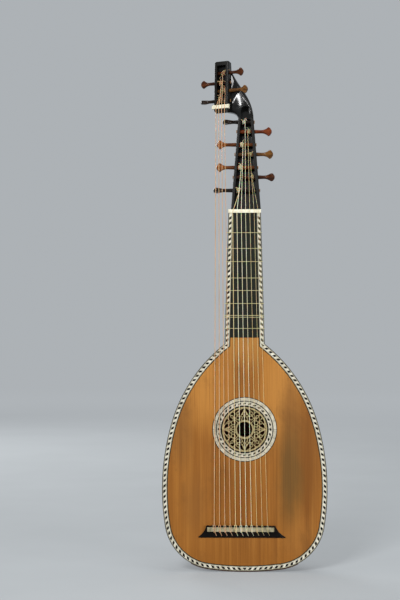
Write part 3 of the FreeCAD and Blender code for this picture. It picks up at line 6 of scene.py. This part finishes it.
import bpy
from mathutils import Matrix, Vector

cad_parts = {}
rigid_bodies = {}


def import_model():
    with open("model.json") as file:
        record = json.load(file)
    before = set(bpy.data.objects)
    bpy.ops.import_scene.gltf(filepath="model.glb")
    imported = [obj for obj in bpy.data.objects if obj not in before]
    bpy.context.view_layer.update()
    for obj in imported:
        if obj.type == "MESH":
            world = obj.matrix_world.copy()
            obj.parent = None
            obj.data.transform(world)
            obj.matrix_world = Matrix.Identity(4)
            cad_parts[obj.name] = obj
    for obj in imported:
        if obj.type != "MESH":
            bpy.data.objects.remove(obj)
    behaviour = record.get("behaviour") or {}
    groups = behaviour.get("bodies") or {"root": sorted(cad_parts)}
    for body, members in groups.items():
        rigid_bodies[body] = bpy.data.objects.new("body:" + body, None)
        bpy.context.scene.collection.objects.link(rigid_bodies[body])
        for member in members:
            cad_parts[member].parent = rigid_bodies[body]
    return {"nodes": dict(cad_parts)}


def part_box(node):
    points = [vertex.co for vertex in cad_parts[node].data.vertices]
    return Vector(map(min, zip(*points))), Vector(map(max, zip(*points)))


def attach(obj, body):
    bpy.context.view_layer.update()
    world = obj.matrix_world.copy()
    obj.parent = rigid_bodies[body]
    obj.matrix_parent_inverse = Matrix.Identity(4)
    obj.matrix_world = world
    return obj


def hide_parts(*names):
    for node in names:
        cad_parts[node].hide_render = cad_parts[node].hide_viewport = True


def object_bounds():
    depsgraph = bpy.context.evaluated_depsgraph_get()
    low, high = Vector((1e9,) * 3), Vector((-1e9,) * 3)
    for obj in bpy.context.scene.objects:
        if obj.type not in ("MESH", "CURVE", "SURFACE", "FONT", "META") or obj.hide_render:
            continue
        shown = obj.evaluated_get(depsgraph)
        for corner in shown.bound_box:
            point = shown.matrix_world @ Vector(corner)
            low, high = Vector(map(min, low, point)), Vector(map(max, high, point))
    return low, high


# Nothing but the frame is in the scene when its box is measured
for leftover in list(bpy.data.objects):
    bpy.data.objects.remove(leftover)
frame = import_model()
cad_box = [list(corner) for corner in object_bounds()]
NODES = frame["nodes"]
FLOOR_Z = cad_box[0][2]
ROSE_Z = 0.251
RING_JOINTS = 22
MAIN_STRINGS = 7

# The photo's frame: one pixel in metres, the pixels in its height, and where the camera stands and aims
PIXEL = 0.00177
FRAME_HEIGHT = 600
VIEW_DISTANCE = 2.7
EYE_Z = 0.48
AIM_X = -0.079
SENSOR = 36


def colour(red, green, blue):
    """The linear colour of an 8-bit screen colour."""
    def channel(value):
        value /= 255
        return value / 12.92 if value <= 0.04045 else ((value + 0.055) / 1.055) ** 2.4
    return (channel(red), channel(green), channel(blue), 1)


class Finish:
    """A material, and the few kinds of node that the finishes are made of."""

    def __init__(self, name, **sockets):
        self.material = bpy.data.materials.new(name)
        self.material.use_nodes = True
        self.nodes = self.material.node_tree.nodes
        self.links = self.material.node_tree.links
        self.shader = self.nodes["Principled BSDF"]
        for socket, value in sockets.items():
            self.shader.inputs[socket.replace("_", " ")].default_value = value
        self.where = self.nodes.new("ShaderNodeTexCoord").outputs["Object"]

    def put(self, kind, inputs, output=0, **settings):
        """Adds a node, with each input a value or a link, and gives back one of its outputs."""
        node = self.nodes.new("ShaderNode" + kind)
        for name, value in settings.items():
            setattr(node, name, value)
        for name, value in inputs.items():
            if isinstance(value, bpy.types.NodeSocket):
                self.links.new(value, node.inputs[name])
            else:
                node.inputs[name].default_value = value
        return node.outputs[output]

    def stretched(self, scale, turn=(0, 0, 0)):
        return self.put("Mapping", {"Vector": self.where, "Scale": scale, "Rotation": turn})

    def noise(self, scale, detail=3, roughness=0.55, distortion=0):
        """Noise with its own number of specks per metre along x, y and z, from 0 to 1."""
        return self.put("TexNoise", {"Vector": self.stretched(scale), "Scale": 1, "Detail": detail,
                                     "Roughness": roughness, "Distortion": distortion})

    def span(self, value, low, high, out_low=0, out_high=1):
        """A smooth step from out_low to out_high as the value goes from low to high."""
        return self.put("MapRange", {"Value": value, "From Min": low, "From Max": high,
                                     "To Min": out_low, "To Max": out_high},
                        interpolation_type="SMOOTHSTEP")

    def ragged(self, scale, reach):
        """The place, pushed about by noise, for patches with uneven edges."""
        spots = self.put("TexNoise", {"Vector": self.stretched(scale), "Scale": 1, "Detail": 4,
                                      "Roughness": 0.65}, 1)
        middle = self.put("VectorMath", {0: spots, 1: (0.5, 0.5, 0.5)}, operation="SUBTRACT")
        push = self.put("VectorMath", {0: middle, 1: reach}, operation="MULTIPLY")
        return self.put("VectorMath", {0: self.where, 1: push}, operation="ADD")

    def patch(self, place, x, z, width, height):
        """1 inside a soft oval patch of the front, 0 outside it."""
        inside = self.put("Mapping", {"Vector": place, "Location": (x, 0, z),
                                      "Scale": (width, 1, height)}, vector_type="TEXTURE")
        away = self.put("VectorMath", {0: inside}, 1, operation="LENGTH")
        return self.span(away, 0.2, 1, 1, 0)

    def sum(self, first, second, operation="ADD"):
        return self.put("Math", {0: first, 1: second}, operation=operation)

    def mix(self, share, first, second):
        return self.put("Mix", {0: share, 6: first, 7: second}, 2, data_type="RGBA")

    def ramp(self, share, *stops):
        """A colour ramp through stops of a position and a colour."""
        node = self.nodes.new("ShaderNodeValToRGB")
        self.links.new(share, node.inputs[0])
        elements = node.color_ramp.elements
        elements[0].position, elements[0].color = stops[0]
        elements[1].position, elements[1].color = stops[-1]
        for position, value in stops[1:-1]:
            elements.new(position).color = value
        return node.outputs[0]

    def part(self, axis):
        """The x, y or z of the place, in metres."""
        return self.put("SeparateXYZ", {0: self.where}, axis)

    def done(self, paint, roughness=None, height=None, distance=0.0001, strength=0.6):
        """Links colour, roughness and bump to the shader, and gives back the material."""
        self.links.new(paint, self.shader.inputs["Base Color"])
        if roughness:
            self.links.new(roughness, self.shader.inputs["Roughness"])
        if height:
            bump = self.put("Bump", {"Height": height, "Distance": distance, "Strength": strength})
            self.links.new(bump, self.shader.inputs["Normal"])
        return self.material


def dress(material, *names):
    """Gives CAD nodes their material."""
    for name in names:
        mesh = NODES[name].data
        mesh.materials.clear()
        mesh.materials.append(material)


def soundboard_wood():
    """Old spruce under an orange varnish: growth lines, streaks, paler shoulders and dark stains."""
    f = Finish("soundboard_wood", Specular_IOR_Level=0.22)
    streaks = f.noise((95, 40, 1.8), 5, 0.66)
    bands = f.noise((22, 10, 0.8), 2)
    grain = f.noise((1150, 300, 7), 2, 0.5, 0.3)
    threads = f.noise((330, 60, 3.5), 3, 0.6)
    stains = f.noise((15, 14, 10), 6, 0.66, 0.4)
    smudges = f.noise((34, 30, 24), 6, 0.7)
    paint = f.ramp(streaks, (0.32, colour(134, 80, 24)), (0.5, colour(157, 99, 36)),
                   (0.68, colour(176, 117, 49)))
    paint = f.mix(f.span(bands, 0.42, 0.66, 0, 0.45), paint, colour(174, 112, 42))
    edges = f.ragged((26, 20, 9), (0.034, 0, 0.07))
    for x, z, width, height, share, shade in (
            (-0.062, 0.335, 0.06, 0.13, 0.85, colour(200, 137, 62)),
            (0.064, 0.33, 0.055, 0.13, 0.85, colour(198, 136, 62)),
            (-0.002, 0.41, 0.06, 0.07, 0.8, colour(190, 134, 64)),
            (-0.07, 0.1, 0.05, 0.13, 0.4, colour(172, 110, 42)),
            (0.085, 0.28, 0.03, 0.1, 0.7, colour(140, 92, 40)),
            (0.08, 0.17, 0.036, 0.13, 0.95, colour(112, 80, 36)),
            (0.118, 0.21, 0.036, 0.16, 0.7, colour(128, 78, 27)),
            (0.098, 0.06, 0.04, 0.06, 0.5, colour(170, 112, 48)),
            (0.0, 0.015, 0.15, 0.05, 0.35, colour(146, 90, 28)),
            (-0.112, 0.25, 0.03, 0.1, 0.6, colour(136, 90, 40)),
            (-0.09, 0.12, 0.03, 0.08, 0.45, colour(136, 88, 38)),
            (-0.02, 0.14, 0.06, 0.1, 0.4, colour(134, 80, 24))):
        share = f.sum(f.patch(edges, x, z, width, height), share, "MULTIPLY")
        share = f.sum(share, f.span(threads, 0.25, 0.6, 0.72, 1.05), "MULTIPLY")
        paint = f.mix(share, paint, shade)
    paint = f.mix(f.span(stains, 0.52, 0.72, 0, 0.5), paint, colour(122, 78, 30))
    paint = f.mix(f.span(smudges, 0.58, 0.76, 0, 0.35), paint, colour(108, 66, 24))
    paint = f.mix(f.span(threads, 0.52, 0.7, 0, 0.28), paint, colour(112, 64, 18))
    paint = f.mix(f.span(grain, 0.5, 0.72, 0, 0.3), paint, colour(110, 62, 15))
    gloss = f.span(stains, 0.3, 0.7, 0.42, 0.55)
    return f.done(paint, gloss, grain, 0.00006, 0.5)


def bowl_wood(name, shift, tone):
    """Figured wood of one bent rib: cross flame, long pores, and a tone of its own."""
    f = Finish(name, Coat_Weight=0.4, Coat_Roughness=0.16)
    f.where = f.put("VectorMath", {0: f.where, 1: (shift, shift * 0.7, shift * 1.3)},
                    operation="ADD")
    flame = f.noise((24, 24, 110), 4, 0.6, 0.8)
    lines = f.noise((520, 520, 9), 3, 0.5, 0.4)
    strip = f.noise((9, 9, 0.7), 2)
    paint = f.ramp(flame, (0.32, colour(74, 34, 13)), (0.52, colour(116, 60, 24)),
                   (0.74, colour(150, 88, 40)))
    paint = f.mix(f.span(strip, 0.35, 0.7, 0, 0.4), paint, colour(98, 46, 17))
    paint = f.mix(tone, paint, colour(66, 28, 10))
    paint = f.mix(f.span(lines, 0.5, 0.75, 0, 0.55), paint, colour(52, 23, 9))
    return f.done(paint, f.span(flame, 0.3, 0.7, 0.24, 0.38), lines, 0.00005, 0.4)


def inner_wood():
    """Plain unvarnished spruce of the blocks, bars and liner."""
    f = Finish("inner_wood")
    grain = f.noise((60, 700, 14), 3, 0.55, 0.3)
    patches = f.noise((20, 20, 20), 4)
    paint = f.ramp(grain, (0.32, colour(168, 132, 84)), (0.66, colour(206, 174, 124)))
    paint = f.mix(f.span(patches, 0.5, 0.8, 0, 0.35), paint, colour(140, 106, 66))
    return f.done(paint, f.span(grain, 0.2, 0.8, 0.6, 0.8), grain, 0.00008)


def ebony(name, dark, light, gloss, wear=0.35, shine=0.5):
    """Near-black wood: long pores, a few lighter streaks, and the paler bloom of handling."""
    f = Finish(name, Specular_IOR_Level=shine)
    pores = f.noise((900, 900, 26), 3, 0.6)
    streaks = f.noise((120, 120, 5), 4, 0.6, 0.3)
    bloom = f.noise((26, 26, 12), 5, 0.6)
    paint = f.ramp(streaks, (0.35, dark), (0.72, light))
    paint = f.mix(f.span(pores, 0.55, 0.75, 0, 0.6), paint, colour(8, 6, 4))
    paint = f.mix(f.span(bloom, 0.5, 0.75, 0, wear), paint, light)
    return f.done(paint, f.span(bloom, 0.3, 0.75, gloss, gloss + 0.12), pores, 0.00003, 0.25)


def bone(name, light, dull, stain, share=0.5):
    """Old bone: cloudy tone, fine lengthwise lines and darker specks."""
    f = Finish(name, Coat_Weight=0.2, Coat_Roughness=0.2, Subsurface_Weight=0.06,
               Subsurface_Scale=0.002)
    f.shader.inputs["Subsurface Radius"].default_value = (1.0, 0.75, 0.5)
    clouds = f.noise((120, 120, 90), 4, 0.6)
    lines = f.noise((700, 700, 160), 3, 0.6, 0.5)
    specks = f.noise((640, 640, 520), 3, 0.7)
    paint = f.ramp(clouds, (0.36, dull), (0.6, light))
    paint = f.mix(f.span(lines, 0.56, 0.74, 0, share), paint, stain)
    paint = f.mix(f.span(specks, 0.62, 0.76, 0, share), paint, stain)
    return f, paint, lines


def plain_bone(*settings):
    """Bone with no joints in it."""
    f, paint, lines = bone(*settings)
    return f.done(paint, f.span(lines, 0.3, 0.7, 0.3, 0.46), lines, 0.00004, 0.4)


def ring_bone():
    """The rings' bone, with the fine radial joints between its short pieces."""
    f, paint, lines = bone("ring_bone", colour(222, 214, 192), colour(178, 170, 148),
                           colour(120, 112, 88), 0.6)
    height = f.sum(f.part(2), ROSE_Z, "SUBTRACT")
    angle = f.sum(f.sum(f.part(0), height, "ARCTAN2"), RING_JOINTS / math.tau, "MULTIPLY")
    away = f.sum(f.sum(f.sum(angle, 100, "ADD"), 1, "FRACT"), 0.5, "SUBTRACT")
    joint = f.span(f.sum(away, 0, "ABSOLUTE"), 0.0, 0.045, 0.75, 0)
    paint = f.mix(joint, paint, colour(70, 64, 48))
    return f.done(paint, f.span(lines, 0.3, 0.7, 0.32, 0.5), lines, 0.00004, 0.4)


def rose_wood():
    """Pale carved wood, its cut sides darkened with depth as painted shade."""
    f = Finish("rose_wood")
    grain = f.noise((900, 900, 40), 3, 0.55, 0.3)
    clouds = f.noise((90, 90, 90), 4, 0.6)
    paint = f.ramp(clouds, (0.34, colour(142, 124, 78)), (0.62, colour(190, 172, 122)))
    paint = f.mix(f.span(grain, 0.52, 0.76, 0, 0.35), paint, colour(98, 82, 44))
    # Painted shade: the cut sides darken towards the back of the carving, nearly black at the deepest
    painted_cut_shade = f.put("MapRange", {"Value": f.part(1), "From Min": 0.00052, "From Max": 0.0011,
                               "To Max": 0.95})
    paint = f.mix(painted_cut_shade, paint, colour(22, 15, 7))
    return f.done(paint, f.span(clouds, 0.3, 0.7, 0.5, 0.66), grain, 0.00005)


def peg_wood(name, dark, light, neck_from, neck_to, tip_from, tip_to):
    """A peg's polished wood, darker along the shaft, with pale end grain at its small end."""
    f = Finish(name, Coat_Weight=0.16, Coat_Roughness=0.05, Specular_IOR_Level=0.1)
    figure = f.noise((55, 260, 260), 4, 0.6, 0.7)
    pores = f.noise((120, 1300, 1300), 3, 0.55)
    paint = f.ramp(figure, (0.34, dark), (0.6, light))
    paint = f.mix(f.span(pores, 0.54, 0.72, 0, 0.55), paint, colour(34, 14, 6))
    neck = f.put("MapRange", {"Value": f.part(0), "From Min": neck_from, "From Max": neck_to,
                              "To Max": 0.6})
    paint = f.mix(neck, paint, dark)
    tip = f.put("MapRange", {"Value": f.part(0), "From Min": tip_from, "From Max": tip_to})
    paint = f.mix(tip, paint, colour(176, 132, 82))
    return f.done(paint, f.span(figure, 0.3, 0.7, 0.24, 0.38), pores, 0.00004, 0.4)


def gut(name, light, dark, shine):
    """Twisted gut: slanting lines of the twist, and uneven tone along its length."""
    f = Finish(name, Specular_IOR_Level=0.25, Subsurface_Weight=0.3, Subsurface_Scale=0.001)
    twist = f.put("TexWave", {"Vector": f.stretched((900, 900, 700), (0.5, 0.4, 0)), "Scale": 1,
                              "Distortion": 0.6, "Detail": 1}, 1, bands_direction="DIAGONAL")
    length = f.noise((60, 60, 34), 4, 0.6)
    paint = f.ramp(length, (0.35, dark), (0.62, light))
    paint = f.mix(f.span(twist, 0.2, 0.8, 0, 0.22), paint, dark)
    return f.done(paint, f.span(length, 0.3, 0.7, shine, shine + 0.2), twist, 0.00004, 0.5)


def iron():
    """Forged iron with rust."""
    f = Finish("nail_iron", Metallic=1.0)
    rust = f.noise((260, 260, 200), 5, 0.65)
    paint = f.ramp(rust, (0.4, colour(92, 88, 84)), (0.62, colour(96, 56, 34)))
    return f.done(paint, f.span(rust, 0.35, 0.65, 0.4, 0.8), rust, 0.00015)


# Finishes of the carried-over pieces
dress(soundboard_wood(), "soundboard")
RIB_TONES = (0.1, 0.42, 0.05, 0.34, 0.12, 0.4, 0.02, 0.36, 0.14)
for number, tone in enumerate(RIB_TONES, 1):
    dress(bowl_wood(f"bowl_wood_{number}", 0.31 * number, tone), f"rib_{number}")
dress(bowl_wood("bowl_wood_clasp", 4.7, 0.5), "end_clasp")
dress(inner_wood(), "end_liner", "neck_block", "soundboard_bars")
dress(ebony("ebony", colour(6, 5, 3), colour(20, 18, 12), 0.24, 0.3, 0.2),
      "neck", "pegbox_back", "pegbox_cheek_bass", "pegbox_cheek_treble", "upper_pegbox")
dress(ebony("ebony_polished", colour(5, 4, 3), colour(17, 14, 10), 0.09, 0.2, 0.32), "swan_neck")
dress(ebony("ebony_fingerboard", colour(10, 12, 8), colour(32, 35, 25), 0.36, 0.5, 0.2),
      "fingerboard")
dress(ebony("ebony_bridge", colour(7, 4, 2), colour(17, 11, 6), 0.36, 0.2, 0.14), "bridge")
INLAY = ebony("ebony_inlay", colour(8, 6, 4), colour(18, 15, 11), 0.5, 0.2, 0.12)
dress(INLAY, "ebony_inlay")
dress(plain_bone("bone_nuts", colour(246, 242, 220), colour(228, 220, 190), colour(170, 150, 104), 0.25),
      "nut", "upper_nut")
dress(plain_bone("bone_edging", colour(238, 233, 214), colour(196, 189, 166),
                 colour(132, 122, 96)), "edging")
dress(plain_bone("bone_cap", colour(184, 174, 142), colour(130, 122, 90), colour(72, 68, 44), 0.7),
      "bridge_cap")
dress(ring_bone(), "rose_rings")
dress(rose_wood(), "rose")
dress(iron(), "neck_nail")

# The dark and the light tone of each peg's wood
ORANGE = (colour(80, 38, 8), colour(150, 86, 26))
REDDISH = (colour(72, 26, 6), colour(132, 60, 16))
TAN = (colour(64, 40, 16), colour(124, 82, 36))
BROWN = (colour(36, 15, 5), colour(88, 44, 14))
DARK = (colour(16, 9, 5), colour(44, 29, 17))
PEG_TONES = {1: BROWN, 2: TAN, 3: REDDISH, 4: DARK, 5: ORANGE, 6: ORANGE, 7: DARK, 8: TAN,
             9: BROWN, 10: BROWN, 11: DARK}
BASS_SIDE_PEGS = (4, 5, 6, 7, 10, 11)
for number, (dark, light) in PEG_TONES.items():
    low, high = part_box(f"peg_{number}")
    inward = 1 if number in BASS_SIDE_PEGS else -1
    head, tip = (low.x, high.x) if inward == 1 else (high.x, low.x)
    dress(peg_wood(f"peg_wood_{number}", dark, light, head + 0.013 * inward, head + 0.021 * inward,
                   tip - 0.0016 * inward, tip - 0.0008 * inward), f"peg_{number}")


# Gut strings and frets

def mesh_piece(name, vertices, faces, material):
    mesh = bpy.data.meshes.new(name)
    mesh.from_pydata(vertices, [], faces)
    mesh.materials.append(material)
    piece = bpy.data.objects.new(name, mesh)
    bpy.context.scene.collection.objects.link(piece)
    return piece


def strand(name, points, radius, material):
    """A thin curved tube with flat filled ends, thinning towards its last point, along a smooth line."""
    line = bpy.data.curves.new(name, "CURVE")
    line.dimensions = "3D"
    line.bevel_depth = radius
    line.bevel_resolution = 3
    line.use_fill_caps = True
    spline = line.splines.new("NURBS")
    spline.points.add(len(points) - 1)
    for place, point in zip(spline.points, points):
        place.co = (*point, 1)
    spline.order_u = 3
    spline.use_endpoint_u = True
    spline.resolution_u = 6
    spline.points[-1].radius = 0.7
    line.materials.append(material)
    piece = bpy.data.objects.new(name, line)
    bpy.context.scene.collection.objects.link(piece)
    return piece


def as_mesh(piece):
    """The same piece with its curve turned into a mesh."""
    mesh = bpy.data.meshes.new_from_object(piece.evaluated_get(bpy.context.evaluated_depsgraph_get()))
    name, place = piece.name, piece.matrix_world.copy()
    bpy.data.objects.remove(piece)
    made = bpy.data.objects.new(name, mesh)
    made.matrix_world = place
    bpy.context.scene.collection.objects.link(made)
    return made


def joined(name, pieces):
    """One object from several meshes."""
    bpy.ops.object.select_all(action="DESELECT")
    for piece in pieces:
        piece.select_set(True)
    bpy.context.view_layer.objects.active = pieces[0]
    bpy.ops.object.join()
    pieces[0].name = name
    return pieces[0]


def formed_like(node, name, material):
    """A new piece with the form of a wound or tied CAD solid, to build its detail on."""
    mesh = NODES[node].data.copy()
    mesh.name = name
    mesh.materials.clear()
    mesh.materials.append(material)
    piece = bpy.data.objects.new(name, mesh)
    bpy.context.scene.collection.objects.link(piece)
    return piece


BRIGHT_GUT = gut("gut_bright", colour(255, 248, 218), colour(246, 230, 188), 0.35)
PALE_GUT = gut("gut_pale", colour(240, 222, 172), colour(220, 196, 140), 0.35)
BROWN_GUT = gut("gut_brown", colour(224, 186, 146), colour(200, 158, 112), 0.35)
FRET_GUT = gut("gut_fret", colour(222, 216, 168), colour(196, 186, 130), 0.4)
STRING_GUTS = {1: PALE_GUT, 2: PALE_GUT, 3: PALE_GUT, 4: BRIGHT_GUT, 5: BRIGHT_GUT, 6: BRIGHT_GUT,
               7: PALE_GUT, 8: BROWN_GUT, 9: BROWN_GUT, 10: BROWN_GUT, 11: BROWN_GUT}
CURL_STEP = 0.0016
CURL_RADIUS = 0.00028

# Each string keeps its CAD form, and gets loose curls of its cut end beside its coil
for number in range(1, 12):
    node = f"string_{number}"
    dice = random.Random(number)
    material = STRING_GUTS[number]
    pieces = [formed_like(node, node + "_run", material)]
    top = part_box(node)[1].z
    coil = [v.co for v in NODES[node].data.vertices if v.co.z > top - 0.005]
    low = Vector([min(c[k] for c in coil) for k in range(3)])
    high = Vector([max(c[k] for c in coil) for k in range(3)])
    middle = (low + high) / 2
    long_string = number > MAIN_STRINGS
    for curl in range(5 if long_string else 3):
        start = Vector((dice.uniform(low.x + 0.0006, high.x - 0.0006), low.y + 0.0008, middle.z))
        points = [start]
        heading = Vector((dice.uniform(-0.5, 0.5), -0.5, dice.uniform(0.3, 1.0)))
        for _ in range(7 if long_string else 5):
            points.append(points[-1] + heading.normalized() * CURL_STEP)
            heading += Vector((dice.uniform(-0.9, 0.9), dice.uniform(-0.15, 0.4),
                               dice.uniform(-0.7, 0.4)))
        pieces.append(as_mesh(strand(f"{node}_curl_{curl}", points, CURL_RADIUS, material)))
    piece = joined(f"gut_{node}", pieces)
    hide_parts(node)
    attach(piece, "instrument")

for number in range(1, 9):
    node = f"fret_{number}"
    piece = formed_like(node, f"gut_{node}", FRET_GUT)
    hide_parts(node)
    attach(piece, node)


# Dark lines and greyer rims along both sides of the bone edging

def front_loop(node):
    """The longest boundary of a node's flat front, as points in order, the face on their left."""
    mesh = NODES[node].data
    sides = {}
    for face in mesh.polygons:
        if face.normal.y > -0.99 or face.center.y > 0.0002:
            continue
        corners = [tuple(round(v, 6) for v in mesh.vertices[i].co) for i in face.vertices]
        for a, b in zip(corners, corners[1:] + corners[:1]):
            if sides.get(b) and a in sides[b]:
                sides[b].remove(a)
            else:
                sides.setdefault(a, []).append(b)
    loops = []
    while any(sides.values()):
        start = next(a for a, ends in sides.items() if ends)
        loop, here = [start], sides[start].pop()
        while here != start and sides.get(here):
            loop.append(here)
            here = sides[here].pop()
        loops.append(loop)
    widest = max(loops, key=lambda loop: max(p[0] for p in loop) - min(p[0] for p in loop))
    return [Vector(p) for p in widest]


def edge_line(name, points, outward, near, far, proud, material, slot):
    """A thin inlaid line of square section along points, between two distances from them."""
    corners = []
    for point, way in zip(points, outward):
        for distance, y in ((near, proud), (far, proud), (far, 0.0003), (near, 0.0003)):
            corners.append((point.x + way.x * distance, y, point.z + way.z * distance))
    faces = []
    for n in range(len(points) - 1):
        for k in range(4):
            a, b = 4 * n + k, 4 * n + (k + 1) % 4
            faces.append((a, b, b + 4, a + 4))
    faces.append((3, 2, 1, 0))
    faces.append(tuple(4 * (len(points) - 1) + k for k in range(4)))
    piece = mesh_piece(name, corners, faces, material)
    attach(piece, "instrument")


def runs(loop):
    """The loop's outer and inner runs, cut apart at its ends beside the nut, each with its outward ways."""
    ways = []
    for n in range(len(loop)):
        along = (loop[(n + 1) % len(loop)] - loop[n - 1]).normalized()
        ways.append(Vector((along.z, 0, -along.x)))
    top = max(point.z for point in loop)
    cuts = [n for n, point in enumerate(loop) if point.z > top - 0.00001]
    found = []
    for a, b in zip(cuts, cuts[1:] + [cuts[0] + len(loop)]):
        turn = [n % len(loop) for n in range(a, b + 1)]
        found.append(([loop[n] for n in turn], [ways[n] for n in turn]))
    found.sort(key=lambda run: max(p.x for p in run[0]) - min(p.x for p in run[0]))
    return found[-1], found[-2]


OUTER, INNER = runs(front_loop("edging"))
BONE_RIM = plain_bone("bone_rim", colour(150, 144, 120), colour(112, 106, 84), colour(72, 66, 48), 0.6)
LINE_PROUD, RIM_PROUD = -0.00005, -0.00004
edge_line("line_outside_edging", *OUTER, -0.0008, 0.0, LINE_PROUD, INLAY, "ebony")
edge_line("rim_outside_edging", *OUTER, -0.0019, -0.0008, RIM_PROUD, BONE_RIM, "bone")
edge_line("rim_inside_edging", *INNER, -0.0011, 0.0, RIM_PROUD, BONE_RIM, "bone")
edge_line("line_inside_edging", *INNER, 0.0, 0.0012, LINE_PROUD, INLAY, "ebony")


# Studio

BACKDROP = colour(226, 232, 237)
PALE = 0.55
FLOOR_RADIUS = 40
FLOOR_SIDES = 64


def seen(nodes, links):
    """1 for light that comes straight to the camera, or by gloss or glass, and 0 for light that lights."""
    path = nodes.new("ShaderNodeLightPath").outputs
    total = path["Is Camera Ray"]
    for name in ("Is Glossy Ray", "Is Transmission Ray"):
        either = nodes.new("ShaderNodeMath")
        either.operation = "MAXIMUM"
        links.new(total, either.inputs[0])
        links.new(path[name], either.inputs[1])
        total = either.outputs[0]
    return total


def studio_floor():
    """A wide pale floor, lifted a little for the camera so that it meets the pale background softly."""
    turns = [n * math.tau / FLOOR_SIDES for n in range(FLOOR_SIDES)]
    vertices = [(FLOOR_RADIUS * math.cos(a), FLOOR_RADIUS * math.sin(a), FLOOR_Z) for a in turns]
    f = Finish("studio_floor", Roughness=0.9, Specular_IOR_Level=0.0)
    cloud = f.noise((3, 3, 3), 3)
    paint = f.ramp(cloud, (0.3, colour(152, 156, 158)), (0.7, colour(158, 162, 164)))
    away = f.put("VectorMath", {0: f.where}, 1, operation="LENGTH")
    paint = f.mix(f.span(away, 1.0, 6.0), paint, (0, 0, 0, 1))
    lift = f.span(away, 0.5, 5.0, 0.26, PALE)
    f.shader.inputs["Emission Color"].default_value = BACKDROP
    f.links.new(f.sum(seen(f.nodes, f.links), lift, "MULTIPLY"), f.shader.inputs["Emission Strength"])
    mesh_piece("studio_floor", vertices, [tuple(range(FLOOR_SIDES))], f.done(paint))


def soft_lamp(name, place, aim, size, power):
    lamp = bpy.data.lights.new(name, "AREA")
    lamp.shape = "RECTANGLE"
    lamp.size, lamp.size_y = size
    lamp.energy = power
    holder = bpy.data.objects.new(name, lamp)
    holder.location = place
    holder.rotation_euler = (Vector(aim) - Vector(place)).to_track_quat("-Z", "Y").to_euler()
    holder.visible_camera = False
    bpy.context.scene.collection.objects.link(holder)


studio_floor()
soft_lamp("key", (-0.9, -2.5, 1.9), (0, 0, 0.45), (0.7, 1.2), 59)
soft_lamp("fill", (2.2, -1.5, 1.0), (0, 0, 0.45), (0.8, 1.6), 14)
soft_lamp("strip", (1.38, -2.12, 0.36), (0, 0, 0.6), (0.1, 0.6), 15)
soft_lamp("top", (0.2, 0.2, 2.3), (0, 0.1, 0.5), (1.6, 1.2), 12)
soft_lamp("back", (-1.5, 2.5, 1.6), (0, 0.1, 0.35), (1.2, 1.4), 34)
world = bpy.data.worlds.new("studio")
bpy.context.scene.world = world
world.use_nodes = True
tree = world.node_tree
background = tree.nodes["Background"]
background.inputs["Color"].default_value = BACKDROP
strength = tree.nodes.new("ShaderNodeMapRange")
strength.inputs["To Min"].default_value = 0.2
strength.inputs["To Max"].default_value = PALE
tree.links.new(seen(tree.nodes, tree.links), strength.inputs["Value"])
tree.links.new(strength.outputs[0], background.inputs["Strength"])

camera = bpy.data.objects.new("camera", bpy.data.cameras.new("camera"))
bpy.context.scene.collection.objects.link(camera)
camera.location = (0, -VIEW_DISTANCE, EYE_Z)
sight = Vector((AIM_X, 0, EYE_Z)) - camera.location
camera.rotation_euler = sight.to_track_quat("-Z", "Y").to_euler()
camera.data.sensor_fit = "VERTICAL"
camera.data.sensor_height = SENSOR
camera.data.lens = SENSOR * VIEW_DISTANCE / (FRAME_HEIGHT * PIXEL)
camera.data.clip_end = 50
bpy.context.scene.camera = camera
bpy.context.scene.view_settings.view_transform = "Standard"
